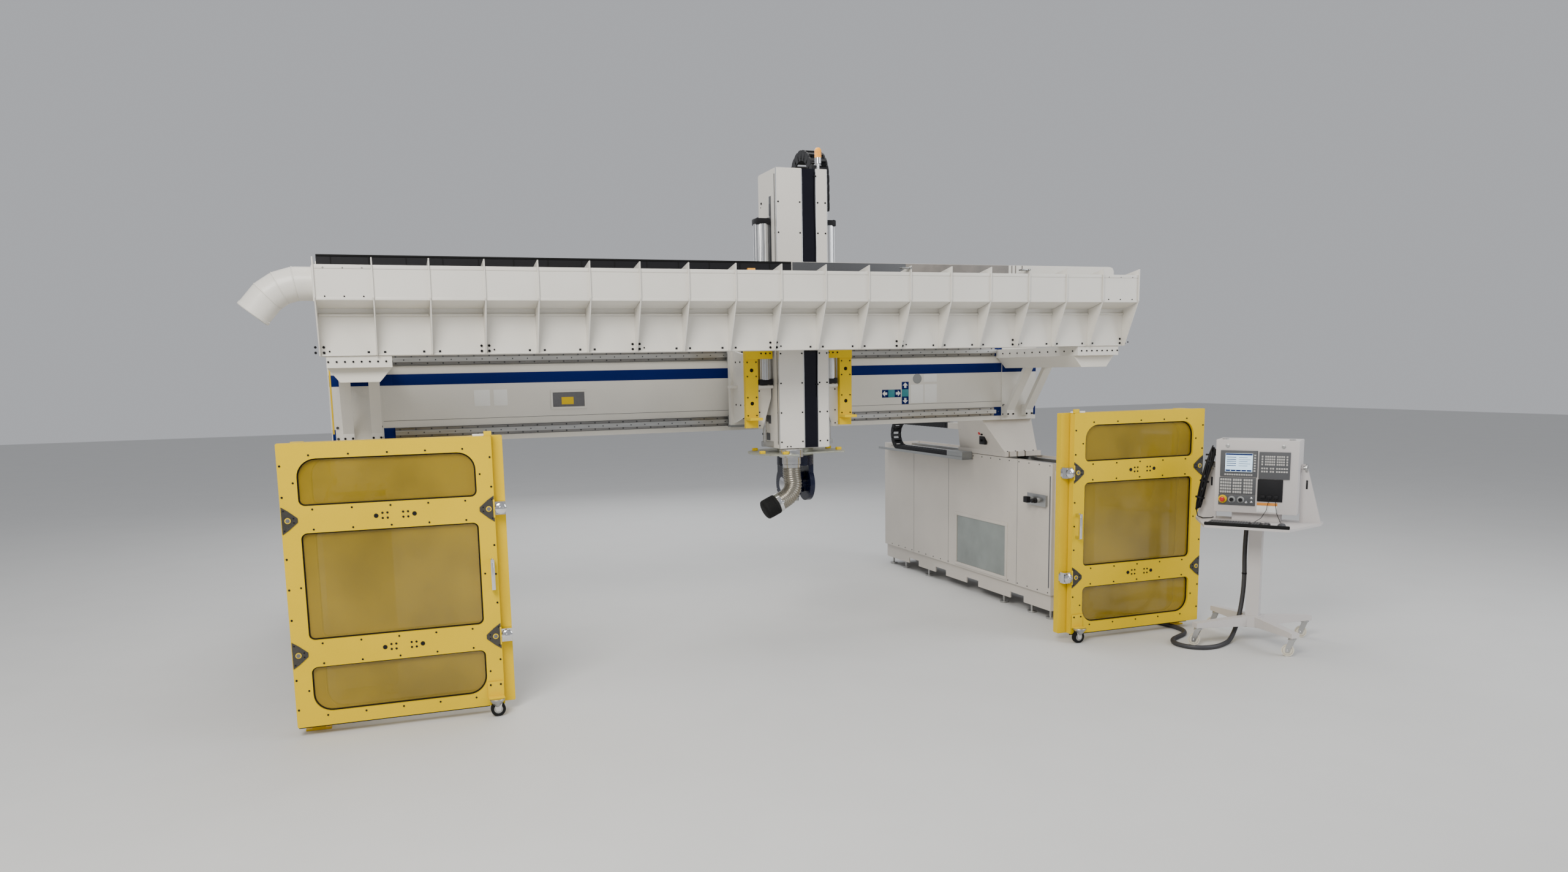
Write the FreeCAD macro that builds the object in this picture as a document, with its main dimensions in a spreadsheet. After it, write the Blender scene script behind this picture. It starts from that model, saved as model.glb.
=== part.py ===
"""Five-axis moving-bridge CNC router with overhead dust trough, guard doors and control console.

Millimetres, +Z up, +X along the bridge, +Y towards the back of the machine.  The sub-parts are
drawn with X = 0 at the middle of the trough, Y = 0 at its front face and Z = 0 on the floor; the
exported solids are moved so that the origin is the middle of the whole footprint.
"""
import FreeCAD
import Part
import Sketcher
import math
import os
from FreeCAD import Placement, Rotation, Vector

doc = FreeCAD.newDocument("cnc_router")
sheet = doc.addObject("Spreadsheet::Sheet", "Sizes")
sheet.Label = "Sizes"

DIMENSIONS = {
    # overhead trough
    "bay": 355.6, "bays": 18, "sheet_wall": 4, "trough_low": 2479, "trough_high": 3056,
    "band_low": 2832, "panel_set": 189, "trough_back": 470, "trough_rear_top": 3120,
    "rib_top": 3103, "elbow_radius": 109,
    # bases
    "base_inner": 2827, "base_width": 465, "base_front": 624, "base_back": 3986,
    "plinth_low": 83, "plinth_top": 233, "deck": 1400, "rim_top": 1447, "plate_wall": 12,
    "rail_width": 35, "rail_near": 2925, "rail_far": 3150, "running_gap": 0.5,
    # bridge
    "bridge_half": 3200, "bridge_front": 1471, "bridge_depth": 530, "bridge_low": 1810,
    "bridge_high": 2580, "end_inner": 2820, "strip_half": 2735, "strip_thick": 12,
    "low_rail": 1892, "high_rail": 2463,
    # saddles
    "foot_low": 1452, "foot_top": 1500, "foot_front": 1400, "foot_back": 2280,
    # carriage and ram
    "ram_centre": 456, "ram_half": 220, "ram_front": 700, "ram_back": 1135,
    "ram_low": 1683, "ram_top": 3924, "skin": 8, "carriage_half": 440,
    "carriage_low": 1865, "carriage_high": 2515, "cylinder_offset": 290, "cylinder_radius": 65,
    "cylinder_low": 2210, "cylinder_high": 3545, "bore_radius": 50, "rod_radius": 14,
    "bar_inner": 366, "bar_outer": 474,
    # head
    "head_y": 925, "tilt_height": 1370, "disc_radius": 410, "hose_radius": 75,
    # guard doors
    "leaf_width": 1333, "leaf_height": 1862, "leaf_low": 68, "leaf_thick": 60, "leaf_gap": 10,
    "leaf_shift": 80, "stile": 111, "left_door": -3495, "left_door_y": -131,
    "right_door": 2530, "right_door_y": -93, "wheel_radius": 50,
    # console
    "console_x": 3915, "console_y": -675, "console_turn": -53.8, "box_width": 621,
    "box_front": -146, "box_depth": 250, "box_low": 1100, "box_high": 1695,
    "tray_low": 1010, "tray_top": 1030, "leg_reach": 500, "caster_radius": 47,
    "conduit_radius": 19, "stop_stem": 12,
}
for row, (alias, number) in enumerate(DIMENSIONS.items(), start=1):
    sheet.set(f"A{row}", alias)
    sheet.set(f"B{row}", str(number))
    sheet.setAlias(f"B{row}", alias)
doc.recompute()


class Size:
    """A length that carries both its value and the sheet formula it comes from."""

    def __init__(self, number, formula):
        self.number, self.formula = number, formula

    def _join(self, other, sign, flip=False):
        other = other if isinstance(other, Size) else Size(other, repr(other))
        left, right = (other, self) if flip else (self, other)
        results = {"+": left.number + right.number, "-": left.number - right.number,
                   "*": left.number * right.number}
        return Size(results[sign], f"({left.formula} {sign} {right.formula})")

    def __add__(self, other):
        return self._join(other, "+")

    def __radd__(self, other):
        return self._join(other, "+", True)

    def __sub__(self, other):
        return self._join(other, "-")

    def __rsub__(self, other):
        return self._join(other, "-", True)

    def __mul__(self, other):
        return self._join(other, "*")

    def __rmul__(self, other):
        return self._join(other, "*", True)

    def __neg__(self):
        return self._join(-1, "*")


class Named:
    """Attribute access to the sheet: d.bay is the Size of the cell called bay."""

    def __getattr__(self, alias):
        return Size(float(sheet.get(alias)), f"Sizes.{alias}")


d = Named()
count = {"n": 0}
nodes = []


def value(size):
    return size.number if isinstance(size, Size) else float(size)


def bind(item, prop, size):
    if isinstance(size, Size):
        item.setExpression(prop, size.formula)
    else:
        item.setExpression(prop, repr(float(size)))


def new(kind, hint):
    count["n"] += 1
    return doc.addObject(kind, f"{hint}_{count['n']}")


def move(item, x=0, y=0, z=0):
    for axis, size in zip("xyz", (x, y, z)):
        bind(item, f"Placement.Base.{axis}", size)
    return item


def block(x, y, z):
    """A box from three (low, high) pairs."""
    item = new("Part::Box", "block")
    for prop, pair in (("Length", x), ("Width", y), ("Height", z)):
        bind(item, prop, pair[1] - pair[0])
    return move(item, x[0], y[0], z[0])


def rod(centre, radius, length, along="z"):
    """A cylinder that starts at centre and runs along +X, +Y or +Z."""
    item = new("Part::Cylinder", "rod")
    bind(item, "Radius", radius)
    bind(item, "Height", length)
    turn = {"z": Rotation(), "x": Rotation(Vector(0, 1, 0), 90), "y": Rotation(Vector(1, 0, 0), -90)}
    item.Placement = Placement(Vector(), turn[along])
    return move(item, *centre)


def fuse(*items):
    item = new("Part::MultiFuse", "fused")
    item.Shapes = list(items)
    item.Refine = True
    return item


def cut(base, *tools):
    item = new("Part::Cut", "cut")
    item.Base = base
    item.Tool = tools[0] if len(tools) == 1 else group(*tools)
    return item


def group(*items):
    item = new("Part::Compound", "group")
    item.Links = list(items)
    return item


def copy_at(source, x=0, y=0, z=0, turn=0):
    item = group(source)
    item.Placement = Placement(Vector(), Rotation(Vector(0, 0, 1), turn))
    return move(item, x, y, z)


def shaped(shape, hint="shaped"):
    item = new("Part::Feature", hint)
    item.Shape = shape
    return item


def prism(outline, plane, start, thickness):
    """A PartDesign pad of a closed outline of (u, v) sizes on the XZ, YZ or XY plane."""
    body = new("PartDesign::Body", "plate")
    sketch = body.newObject("Sketcher::SketchObject", f"{body.Name}_outline")
    role = f"{plane}_Plane"
    support = next(item for item in body.Origin.OriginFeatures if item.Role == role)
    sketch.AttachmentSupport = [(support, "")]
    sketch.MapMode = "FlatFace"
    total = len(outline)
    corners = [Vector(value(u), value(v), 0) for u, v in outline]
    for index in range(total):
        sketch.addGeometry(Part.LineSegment(corners[index], corners[(index + 1) % total]), False)
    for index in range(total):
        sketch.addConstraint(Sketcher.Constraint("Coincident", index, 2, (index + 1) % total, 1))
    for index, corner in enumerate(outline):
        for kind, axis, size in (("DistanceX", -2, corner[0]), ("DistanceY", -1, corner[1])):
            if value(size) == 0:
                sketch.addConstraint(Sketcher.Constraint("PointOnObject", index, 1, axis))
                continue
            ends = (-1, 1, index, 1) if value(size) > 0 else (index, 1, -1, 1)
            place = sketch.addConstraint(Sketcher.Constraint(kind, *ends, abs(value(size))))
            if isinstance(size, Size):
                size = size if value(size) > 0 else -size
                sketch.setExpression(f"Constraints[{place}]", size.formula)
    pad = body.newObject("PartDesign::Pad", f"{body.Name}_pad")
    pad.Profile = sketch
    bind(pad, "Length", thickness)
    pad.Reversed = plane == "XZ"
    offset = {"XZ": (0, start, 0), "YZ": (start, 0, 0), "XY": (0, 0, start)}[plane]
    return move(body, *offset)


def node(label, item):
    item.Label = label
    nodes.append(item)
    return item


def both_sides(make):
    """The same piece built on the left (-1) and on the right (+1)."""
    return [make(side) for side in (-1, 1)]


def span(side, low, high):
    """An X range from two distances off the centre, on one side of it."""
    return (low, high) if side > 0 else (-high, -low)


# ---------------------------------------------------------------- bases
base_outer = d.base_inner + d.base_width


def base(side):
    inner, outer = d.base_inner, base_outer
    wall = d.plate_wall
    housing = block(span(side, inner, outer), (d.base_front, d.base_back), (d.plinth_top, d.rim_top))
    plinth = block(span(side, inner + 20, outer - 20), (d.base_front + 20, d.base_back - 20),
                   (d.plinth_low, d.plinth_top + 1))
    channel = block(span(side, inner + wall, outer - wall), (d.base_front + wall, d.base_back - wall),
                    (d.deck, d.rim_top + 1))
    hollow = block(span(side, inner + 32, outer - 32), (d.base_front + 32, d.base_back - 32),
                   (d.plinth_low - 1, d.deck - wall))
    window = block(span(side, inner - 1, inner + 8), (1380, 2300), (283, 780))
    notches = [block(span(side, inner - 1, outer + 1), (y, y + 230), (d.plinth_low - 1, 143))
               for y in (1080, 1900, 2560, 3180)]
    return cut(fuse(housing, plinth), channel, hollow, window, *notches)


node("bases", group(*both_sides(base)))
node("base_windows", group(*both_sides(
    lambda side: block(span(side, d.base_inner + 2, d.base_inner + 8), (1382, 2298), (285, 778)))))
node("y_rails", group(*[
    block(span(side, near, near + d.rail_width), (d.base_front + 60, d.base_back - 60),
          (d.deck, d.deck + 36))
    for side in (-1, 1) for near in (d.rail_near, d.rail_far)]))


def foot(side, across, y):
    return fuse(rod((side * across, y, 0), 42, 18), rod((side * across, y, 17), 12, d.plinth_low - 17))


node("levelling_feet", group(*[
    foot(side, across, y) for side in (-1, 1) for across in (d.base_inner + 62, base_outer - 62)
    for y in (700, 1000, 1480, 3010, 3560, 3880)]))

shelf_inner = d.base_inner - 127
node("service_boxes", group(
    fuse(block((shelf_inner, d.base_inner), (1990, 3900), (1385, 1391)),
         block((shelf_inner, shelf_inner + 4), (1990, 3900), (1391, 1412))),
    block((shelf_inner + 8, d.base_inner - 6), (2000, 2312), (1391.5, 1465)),
    fuse(block((d.base_inner - 22, d.base_inner), (690, 975), (1050, 1148)),
         rod((d.base_inner - 52, 800, 1098), 24, 32, "x"),
         block((d.base_inner - 60, d.base_inner - 22), (880, 930), (1075, 1122))),
    block((base_outer - 20, base_outer + 50), (680, 770), (0, 120))))


def chain_loop(lower_run, upper_run, turn_at, thick, width):
    """A flat U of constant thickness.  The two runs are (end, height) pairs."""
    (end_low, low), (end_high, high) = lower_run, upper_run
    middle, radius, half = (low + high) / 2, (high - low) / 2, thick / 2
    sign = -1 if turn_at < min(end_low, end_high) else 1
    inner, outer = radius - half, radius + half

    def at(u, v):
        return Vector(u, v, 0)

    edges = [
        Part.LineSegment(at(end_low, low - half), at(turn_at, low - half)).toShape(),
        Part.Arc(at(turn_at, low - half), at(turn_at + sign * outer, middle),
                 at(turn_at, high + half)).toShape(),
        Part.LineSegment(at(turn_at, high + half), at(end_high, high + half)).toShape(),
        Part.LineSegment(at(end_high, high + half), at(end_high, high - half)).toShape(),
        Part.LineSegment(at(end_high, high - half), at(turn_at, high - half)).toShape(),
        Part.Arc(at(turn_at, high - half), at(turn_at + sign * inner, middle),
                 at(turn_at, low + half)).toShape(),
        Part.LineSegment(at(turn_at, low + half), at(end_low, low + half)).toShape(),
        Part.LineSegment(at(end_low, low + half), at(end_low, low - half)).toShape()]
    return Part.Face(Part.Wire(edges)).extrude(Vector(0, 0, width))


def chain_along_y(lower_run, upper_run, turn_at, x_span):
    item = shaped(chain_loop(lower_run, upper_run, turn_at, CHAIN_THICK, x_span[1] - x_span[0]), "chain")
    item.Placement = Placement(Vector(x_span[0], 0, 0), Rotation(Vector(1, 1, 1), 120))
    return item


def chain_along_x(lower_run, upper_run, turn_at, y_span):
    item = shaped(chain_loop(lower_run, upper_run, turn_at, CHAIN_THICK, y_span[1] - y_span[0]), "chain")
    item.Placement = Placement(Vector(0, y_span[1], 0), Rotation(Vector(1, 0, 0), 90))
    return item


CHAIN_THICK = 60
node("y_chain", group(chain_along_y((2313, 1423), (2301, 1723), 3430,
                                    (value(shelf_inner) + 10, value(d.base_inner) - 8))))

# ---------------------------------------------------------------- guard doors
corner_big, corner_small = 120, 22


def window_tool(x, z, top, bottom):
    """A window opening with its own corner radius at the top and at the bottom."""
    (x0, x1), (z0, z1) = x, z
    deep = (-1, d.leaf_thick + 1)
    parts = [block((x0 + top, x1 - top), deep, (z1 - top, z1)),
             block((x0 + bottom, x1 - bottom), deep, (z0, z0 + bottom)),
             block((x0, x1), deep, (z0 + bottom, z1 - top))]
    for x_at in (x0, x1):
        for radius, z_at in ((top, z1 - top), (bottom, z0 + bottom)):
            inward = x_at + radius if x_at is x0 else x_at - radius
            parts.append(rod((inward, -1, z_at), radius, d.leaf_thick + 2, "y"))
    return fuse(*parts)


WINDOWS = ((1457, 1761, corner_big, corner_small), (575, 1282, corner_small, corner_small),
           (90, 397, corner_small, corner_big))
window_x = (d.stile, d.leaf_width - d.stile)
leaf_frame = cut(block((0, d.leaf_width), (0, d.leaf_thick), (0, d.leaf_height)),
                 *[window_tool(window_x, (low, high), top, bottom)
                   for low, high, top, bottom in WINDOWS])
pane_bits = []
for low, high, top, bottom in WINDOWS:
    pane = cut(window_tool(window_x, (low, high), top, bottom),
               block((0, d.leaf_width), (-2, 26), (0, d.leaf_height)),
               block((0, d.leaf_width), (32, d.leaf_thick + 2), (0, d.leaf_height)))
    pane_bits.append(pane)
leaf_both = group(leaf_frame, *pane_bits)

rear_back = d.leaf_thick + d.leaf_gap
for name, x, y in (("left_front_leaf", d.left_door, d.left_door_y),
                   ("left_rear_leaf", d.left_door + d.leaf_shift, d.left_door_y + rear_back),
                   ("right_front_leaf", d.right_door, d.right_door_y),
                   ("right_rear_leaf", d.right_door - d.leaf_shift, d.right_door_y + rear_back)):
    node(name, copy_at(leaf_both, x, y, d.leaf_low))

post_start = rear_back + d.leaf_thick


def post(x, y):
    return fuse(block((x, x + 80), (y + post_start, y + post_start + 80), (0, 1930)),
                block((x - 40, x + 120), (y + post_start, y + post_start + 160), (0, 12)))


node("door_posts", group(post(d.left_door + d.leaf_shift, d.left_door_y),
                         post(d.right_door - d.leaf_shift + d.leaf_width - 80, d.right_door_y)))


def span_at(edge, side, low, high):
    """An X range from two distances off an edge, towards one side of it."""
    return (edge + low, edge + high) if side > 0 else (edge - high, edge - low)


def door_fittings(edge, y, side):
    """Two guide blocks, a pull handle and the wheel fork at a leaf's leading edge."""
    blocks = [group(block(span_at(edge, side, 3, 72), (y + 4, y + d.leaf_thick + 8), (z - 45, z + 45)),
                    rod((edge + side * 38, y - 22, z), 26, 25.5, "y")) for z in (554, 1438)]
    grip = fuse(block(span_at(edge, side, -52, -28), (y - 62, y - 44), (889, 1097)),
                block(span_at(edge, side, -52, -28), (y - 50, y), (889, 911)),
                block(span_at(edge, side, -52, -28), (y - 50, y), (1075, 1097)))
    cheek = [(value(edge) + side * s, z) for s, z in ((-84, 118), (-20, 118), (-38, 36), (-66, 36))]
    fork = fuse(block(span_at(edge, side, -95, -9), (y - 62, y), (118, 128)),
                block(span_at(edge, side, -95, -9), (y - 10, y), (118, 210)),
                prism(cheek, "XZ", y - 60, 5), prism(cheek, "XZ", y - 17, 5))
    return group(*blocks, grip, fork)


left_edge = d.left_door + d.leaf_width
for name, edge, y, side in (("left_door", left_edge, d.left_door_y, 1),
                            ("right_door", d.right_door, d.right_door_y, -1)):
    node(f"{name}_fittings", door_fittings(edge, y, side))
    wheel = cut(rod((edge - side * 52, y - 53, d.wheel_radius), d.wheel_radius, 34, "y"),
                rod((edge - side * 52, y - 54, d.wheel_radius), 8, 36, "y"))
    node(f"{name}_wheel", wheel)

# ---------------------------------------------------------------- bridge
bridge_back = d.bridge_front + d.bridge_depth
node("bridge_beam", cut(
    block((-d.bridge_half, d.bridge_half), (d.bridge_front, bridge_back), (d.bridge_low, d.bridge_high)),
    block((-d.bridge_half - 1, d.bridge_half + 1), (d.bridge_front + 16, bridge_back - 16),
          (d.bridge_low + 16, d.bridge_high - 16))))
node("bridge_end_plates", group(
    *both_sides(lambda side: block(span(side, d.end_inner, d.bridge_half),
                                   (d.bridge_front - 12, d.bridge_front), (d.bridge_low, d.bridge_high))),
    *both_sides(lambda side: block(span(side, d.bridge_half, d.bridge_half + 6),
                                   (d.bridge_front, bridge_back), (d.bridge_low, d.bridge_high)))))
strip_face = d.bridge_front - d.strip_thick
node("rail_strips", group(*[
    block((-d.strip_half, d.strip_half), (strip_face, d.bridge_front), (z - 37, z + 37))
    for z in (d.low_rail, d.high_rail)]))
node("x_rails", group(*[
    block((-d.strip_half, d.strip_half), (strip_face - 38, strip_face), (z - 17, z + 17))
    for z in (d.low_rail, d.high_rail)]))


def saddle(side):
    plate = block(span(side, d.base_inner, base_outer - 60), (d.foot_front, d.foot_back),
                  (d.foot_low, d.foot_top))
    wedge = new("Part::Wedge", "wedge")
    near, far = d.base_inner, base_outer - 100
    wide, wide_far = d.base_inner - 181, base_outer - 92
    low_x = span(side, near, far)
    top_x = span(side, wide, wide_far)
    for prop, size in (("Xmin", low_x[0]), ("Xmax", low_x[1]), ("X2min", top_x[0]), ("X2max", top_x[1]),
                       ("Ymin", d.foot_top), ("Ymax", d.bridge_low),
                       ("Zmin", -d.foot_back + 30), ("Zmax", -d.foot_front - 8),
                       ("Z2min", -bridge_back + 4), ("Z2max", -d.bridge_front - 58)):
        bind(wedge, prop, size)
    wedge.Placement = Placement(Vector(), Rotation(Vector(1, 0, 0), 90))
    slots = [block(span(side, near + 40 + 90 * step, near + 58 + 90 * step),
                   (d.foot_front - 1, d.foot_front + 30), (1452 - 1, 1501)) for step in range(3)]
    body = cut(fuse(plate, wedge), *slots)
    if side > 0:
        body = fuse(body, block((d.base_inner - 117, d.base_inner - 8), (2040, 2300), (1693, 1753)))
    return body


node("saddles", group(*both_sides(saddle)))
block_half = 48


def bearing_y(side, near, y):
    low, high = near + d.rail_width * 0.5 - block_half, near + d.rail_width * 0.5 + block_half
    return cut(block(span(side, low, high), (y, y + 190), (d.deck + 6, d.foot_low)),
               block(span(side, near - d.running_gap, near + d.rail_width + d.running_gap),
                     (y - 1, y + 191), (d.deck + 5, d.deck + 36 + d.running_gap)))


def y_motor(side):
    across = base_outer + 18
    return fuse(block(span(side, base_outer - 60, base_outer + 100), (1800, 1960), (d.foot_low, 1560)),
                rod((side * across, 1880, 1559), 62, 210))


node("y_drive", group(*[bearing_y(side, near, y) for side in (-1, 1)
                        for near in (d.rail_near, d.rail_far) for y in (1440, 2050)],
                      *both_sides(y_motor)))
node("x_chain", group(chain_along_x((314, 2613), (770, 2873), -640, (1690, 1840))))

# ---------------------------------------------------------------- overhead trough
trough_half = d.bay * d.bays * 0.5
trough_outline = [(0, d.trough_high), (0, d.band_low), (150, d.band_low - 40),
                  (d.panel_set, d.band_low - 44), (d.panel_set, d.trough_low), (d.trough_back, d.trough_low),
                  (d.trough_back, d.trough_rear_top), (d.trough_back - 4, d.trough_rear_top),
                  (d.trough_back - 4, d.trough_low + 4), (d.panel_set + 4, d.trough_low + 4),
                  (d.panel_set + 4, d.band_low - 40), (150, d.band_low - 36), (4, d.band_low + 3),
                  (4, d.trough_high - 4), (44, d.trough_high - 4), (44, d.trough_high)]
node("trough", prism(trough_outline, "YZ", -trough_half, trough_half * 2))
rib_outline = [(-14, d.rib_top), (-14, d.band_low + 14), (-1, d.band_low - 10),
               (d.panel_set - 30, d.trough_low),
               (d.panel_set - 0.5, d.trough_low), (d.panel_set - 0.5, d.band_low - 46),
               (148, d.band_low - 42), (-0.5, d.band_low - 2), (-0.5, d.trough_high + 0.5),
               (210, d.trough_high + 0.5), (210, d.trough_high + 9)]
rib_plate = prism(rib_outline, "YZ", 0, 8)
ribs = [copy_at(rib_plate, d.bay * (step - 9) - 4) for step in range(19)]
node("trough_ribs", group(*ribs))
node("slot_belt", group(
    block((-trough_half + 12, d.ram_centre - 256), (300, 306), (2840, 3150)),
    block((-trough_half + 12, trough_half - 12), (180, 300), (2820, 2826))))


def elbow():
    """Mitred duct elbow: a stub out of the trough's end, then two turned sections."""
    radius = value(d.elbow_radius)
    start, level, depth = -value(trough_half) + 2, 2944, 150
    turns = (0, 17, 34, 50)
    lengths = (120, 95, 95, 150)
    solid, at = None, Vector(start, depth, level)
    for turn, length in zip(turns, lengths):
        heading = Vector(-math.cos(math.radians(turn)), 0, -math.sin(math.radians(turn)))
        piece = Part.makeCylinder(radius, length, at, heading)
        solid = piece if solid is None else solid.fuse(piece)
        at = at + heading * length
        solid = solid.fuse(Part.makeSphere(radius - 0.5, at)) if turn != turns[-1] else solid
    return solid.removeSplitter()


node("dust_elbow", shaped(elbow(), "elbow"))


def bracket(side):
    """Bolted channel under the trough's end, its tapered pan and the two struts below it."""
    channel = block(span(side, 2752, 3166), (d.panel_set + 2, d.bridge_front - 12.5),
                    (2400, d.trough_low - 0.5))
    low, high = ((2752, 2400), (2836, 2303)), ((3166, 2400), (3090, 2303))
    outline = [(side * low[0][0], 2400.5), (side * low[1][0], 2303), (side * high[1][0], 2303),
               (side * high[0][0], 2400.5)]
    pan = prism(outline, "XZ", d.panel_set + 60, 1180)
    struts = []
    for centre in (2873, 3080):
        run, rise = 330, 430
        tilt = math.degrees(math.atan2(run, rise))
        strut = new("Part::Box", "strut")
        bind(strut, "Length", 80)
        bind(strut, "Width", 40)
        bind(strut, "Height", math.hypot(run, rise))
        strut.Placement = Placement(Vector(), Rotation(Vector(1, 0, 0), tilt))
        move(strut, side * centre - 40, 1398, 1886)
        struts.append(strut)
        struts.append(block((side * centre - 40, side * centre + 40), (1385, d.bridge_front - 12.5),
                            (1850, 1950)))
    return fuse(channel, pan, *struts)


node("trough_brackets", group(*both_sides(bracket)))

# ---------------------------------------------------------------- carriage
cx = d.ram_centre


def bearing_x(dx, z):
    return cut(block((cx + dx, cx + dx + 170), (1361, strip_face - 6), (z - 50, z + 50)),
               block((cx + dx - 1, cx + dx + 171), (strip_face - 38 - d.running_gap, strip_face),
                     (z - 17 - d.running_gap, z + 17 + d.running_gap)))


def bearing_z(side, z):
    centre = cx + side * 150
    return cut(block((centre - 48, centre + 48), (d.ram_back + 8, 1301), (z, z + 180)),
               block((centre - 17.5, centre + 17.5), (d.ram_back + 7, d.ram_back + 40.5), (z - 1, z + 181)))


def carriage():
    plate = block((cx - d.carriage_half, cx + d.carriage_half), (1300, 1361),
                  (d.carriage_low, d.carriage_high))
    side_outline = [(850, 1990), (850, 2440), (1301, 2500), (1301, 1880)]
    cheeks = [prism(side_outline, "YZ", cx + x, 18) for x in (-416, 398)]
    arms, webs = [], []
    for side in (-1, 1):
        centre = cx + side * d.cylinder_offset
        arms.append(cut(block((centre - 66, centre + 66), (820, 1301), (2180, 2204)),
                        rod((centre, 870, 2179), 20, 26)))
        outline = [(value(cx) + side * off, z) for off, z in
                   ((400, 2190), (236, 2190), (236, 2100), (313, 1850), (350, 1850), (400, 1990))]
        webs.append(prism(outline, "XZ", 850, 5.5))
        webs.append(block((centre - 66, centre + side * 110 + 66) if side > 0 else
                          (centre + side * 110 - 66, centre + 66), (1180, 1301), (2180, 2204)))
    arm_x = (cx + 234, cx + 394)
    top_arm = fuse(block(arm_x, (1300, 1361), (2514, 2600)), block(arm_x, (1300, 1682), (2590, 2602)),
                   block(arm_x, (1664, 1682), (2602, 2842)), block(arm_x, (1664, 1840), (2831, 2842)))
    z_blocks = [bearing_z(side, z) for side in (-1, 1) for z in (1900, 2300)]
    return fuse(plate, *cheeks, *arms, *webs, top_arm, *z_blocks)


node("carriage_plate", carriage())
node("x_drive", group(*[bearing_x(dx, z) for dx in (-420, 250) for z in (d.low_rail, d.high_rail)],
                      fuse(block((cx - 395, cx - 245), (1180, 1299.5), (2020, 2170)),
                           rod((cx - 320, 960, 2095), 58, 221, "y"))))


def guard_bar(side):
    low, high = (d.bar_inner, d.bar_outer)
    x = (cx + low, cx + high) if side > 0 else (cx - high, cx - low)
    arm_x = (cx + 240, cx + high) if side > 0 else (cx - high, cx - 240)
    upright = block(x, (800, 849.5), (1945, 2510))
    holes = [rod((cx + side * 420, 799, z), 16, 52, "y") for z in (2060, 2330)]
    return fuse(cut(upright, *holes), block(arm_x, (790, 803), (2420, 2510)),
                block(x, (812, 849.5), (1860, 1946)), block(x, (700, 849.5), (1925, 1946)))


node("guard_bars", group(*both_sides(guard_bar)))


def cylinder(side):
    centre = cx + side * d.cylinder_offset
    shell = rod((centre, 870, d.cylinder_low), d.cylinder_radius, d.cylinder_high - d.cylinder_low)
    bore = rod((centre, 870, d.cylinder_low + 20), d.bore_radius, d.cylinder_high - d.cylinder_low - 40)
    neck = rod((centre, 870, d.cylinder_low - 1), d.rod_radius + 0.4, 30)
    flange = cut(rod((centre, 870, 2204.5), 45, 6), rod((centre, 870, 2203), d.rod_radius + 0.4, 9))
    return fuse(cut(shell, bore, neck), flange)


node("counterbalance_cylinders", group(*both_sides(cylinder)))

# ---------------------------------------------------------------- ram
skin = d.skin
inner_half = d.ram_half - skin


def ram_column():
    tube = cut(block((cx - inner_half, cx + inner_half), (d.ram_front + 12.5, d.ram_back),
                     (d.ram_low, d.ram_top - skin)),
               block((cx - inner_half + 16, cx + inner_half - 16), (d.ram_front + 28, d.ram_back - 16),
                     (d.ram_low + 30, d.ram_top)))
    rails = [block((cx + x - 17, cx + x + 17), (d.ram_back - 1, d.ram_back + 40), (1700, 3880))
             for x in (-150, 150)]
    return fuse(tube, *rails)


node("ram_column", ram_column())
cover_z = (d.ram_low + 5, d.ram_top)
node("ram_covers", group(
    block((cx - d.ram_half, cx - 1), (d.ram_front, d.ram_front + 12), cover_z),
    block((cx + 122, cx + d.ram_half), (d.ram_front, d.ram_front + 12), cover_z),
    *both_sides(lambda side: block((cx + inner_half, cx + d.ram_half) if side > 0 else
                                   (cx - d.ram_half, cx - inner_half),
                                   (d.ram_front + 12, d.ram_back - 40), cover_z)),
    block((cx - inner_half, cx + inner_half), (d.ram_front + 12, d.ram_back - 2),
          (d.ram_top - skin + 0.5, d.ram_top)),
    prism([(value(cx + d.ram_half), 3780), (value(cx + d.ram_half) + 100, 3780),
           (value(cx + d.ram_half) + 100, 3740), (value(cx + d.ram_half), 3650)], "XZ", 1010, 14)))
node("ram_strip", block((cx, cx + 121), (d.ram_front + 4, d.ram_front + 12), cover_z))


def lift_rod(side):
    centre = cx + side * d.cylinder_offset
    lug = (cx + d.ram_half, centre + 24) if side > 0 else (centre - 24, cx - d.ram_half)
    return fuse(rod((centre, 870, 1740), d.rod_radius, 1700), block(lug, (845, 895), (1700, 1741)))


node("cylinder_rods", group(*both_sides(lift_rod)))
node("beacon", fuse(rod((cx + 184, 790, d.ram_top), 14, 60), rod((cx + 184, 790, d.ram_top + 55), 27, 50),
                    rod((cx + 184, 790, d.ram_top + 104), 29, 82)))
chain_x = (value(cx) + 236, value(cx) + 392)


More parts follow.
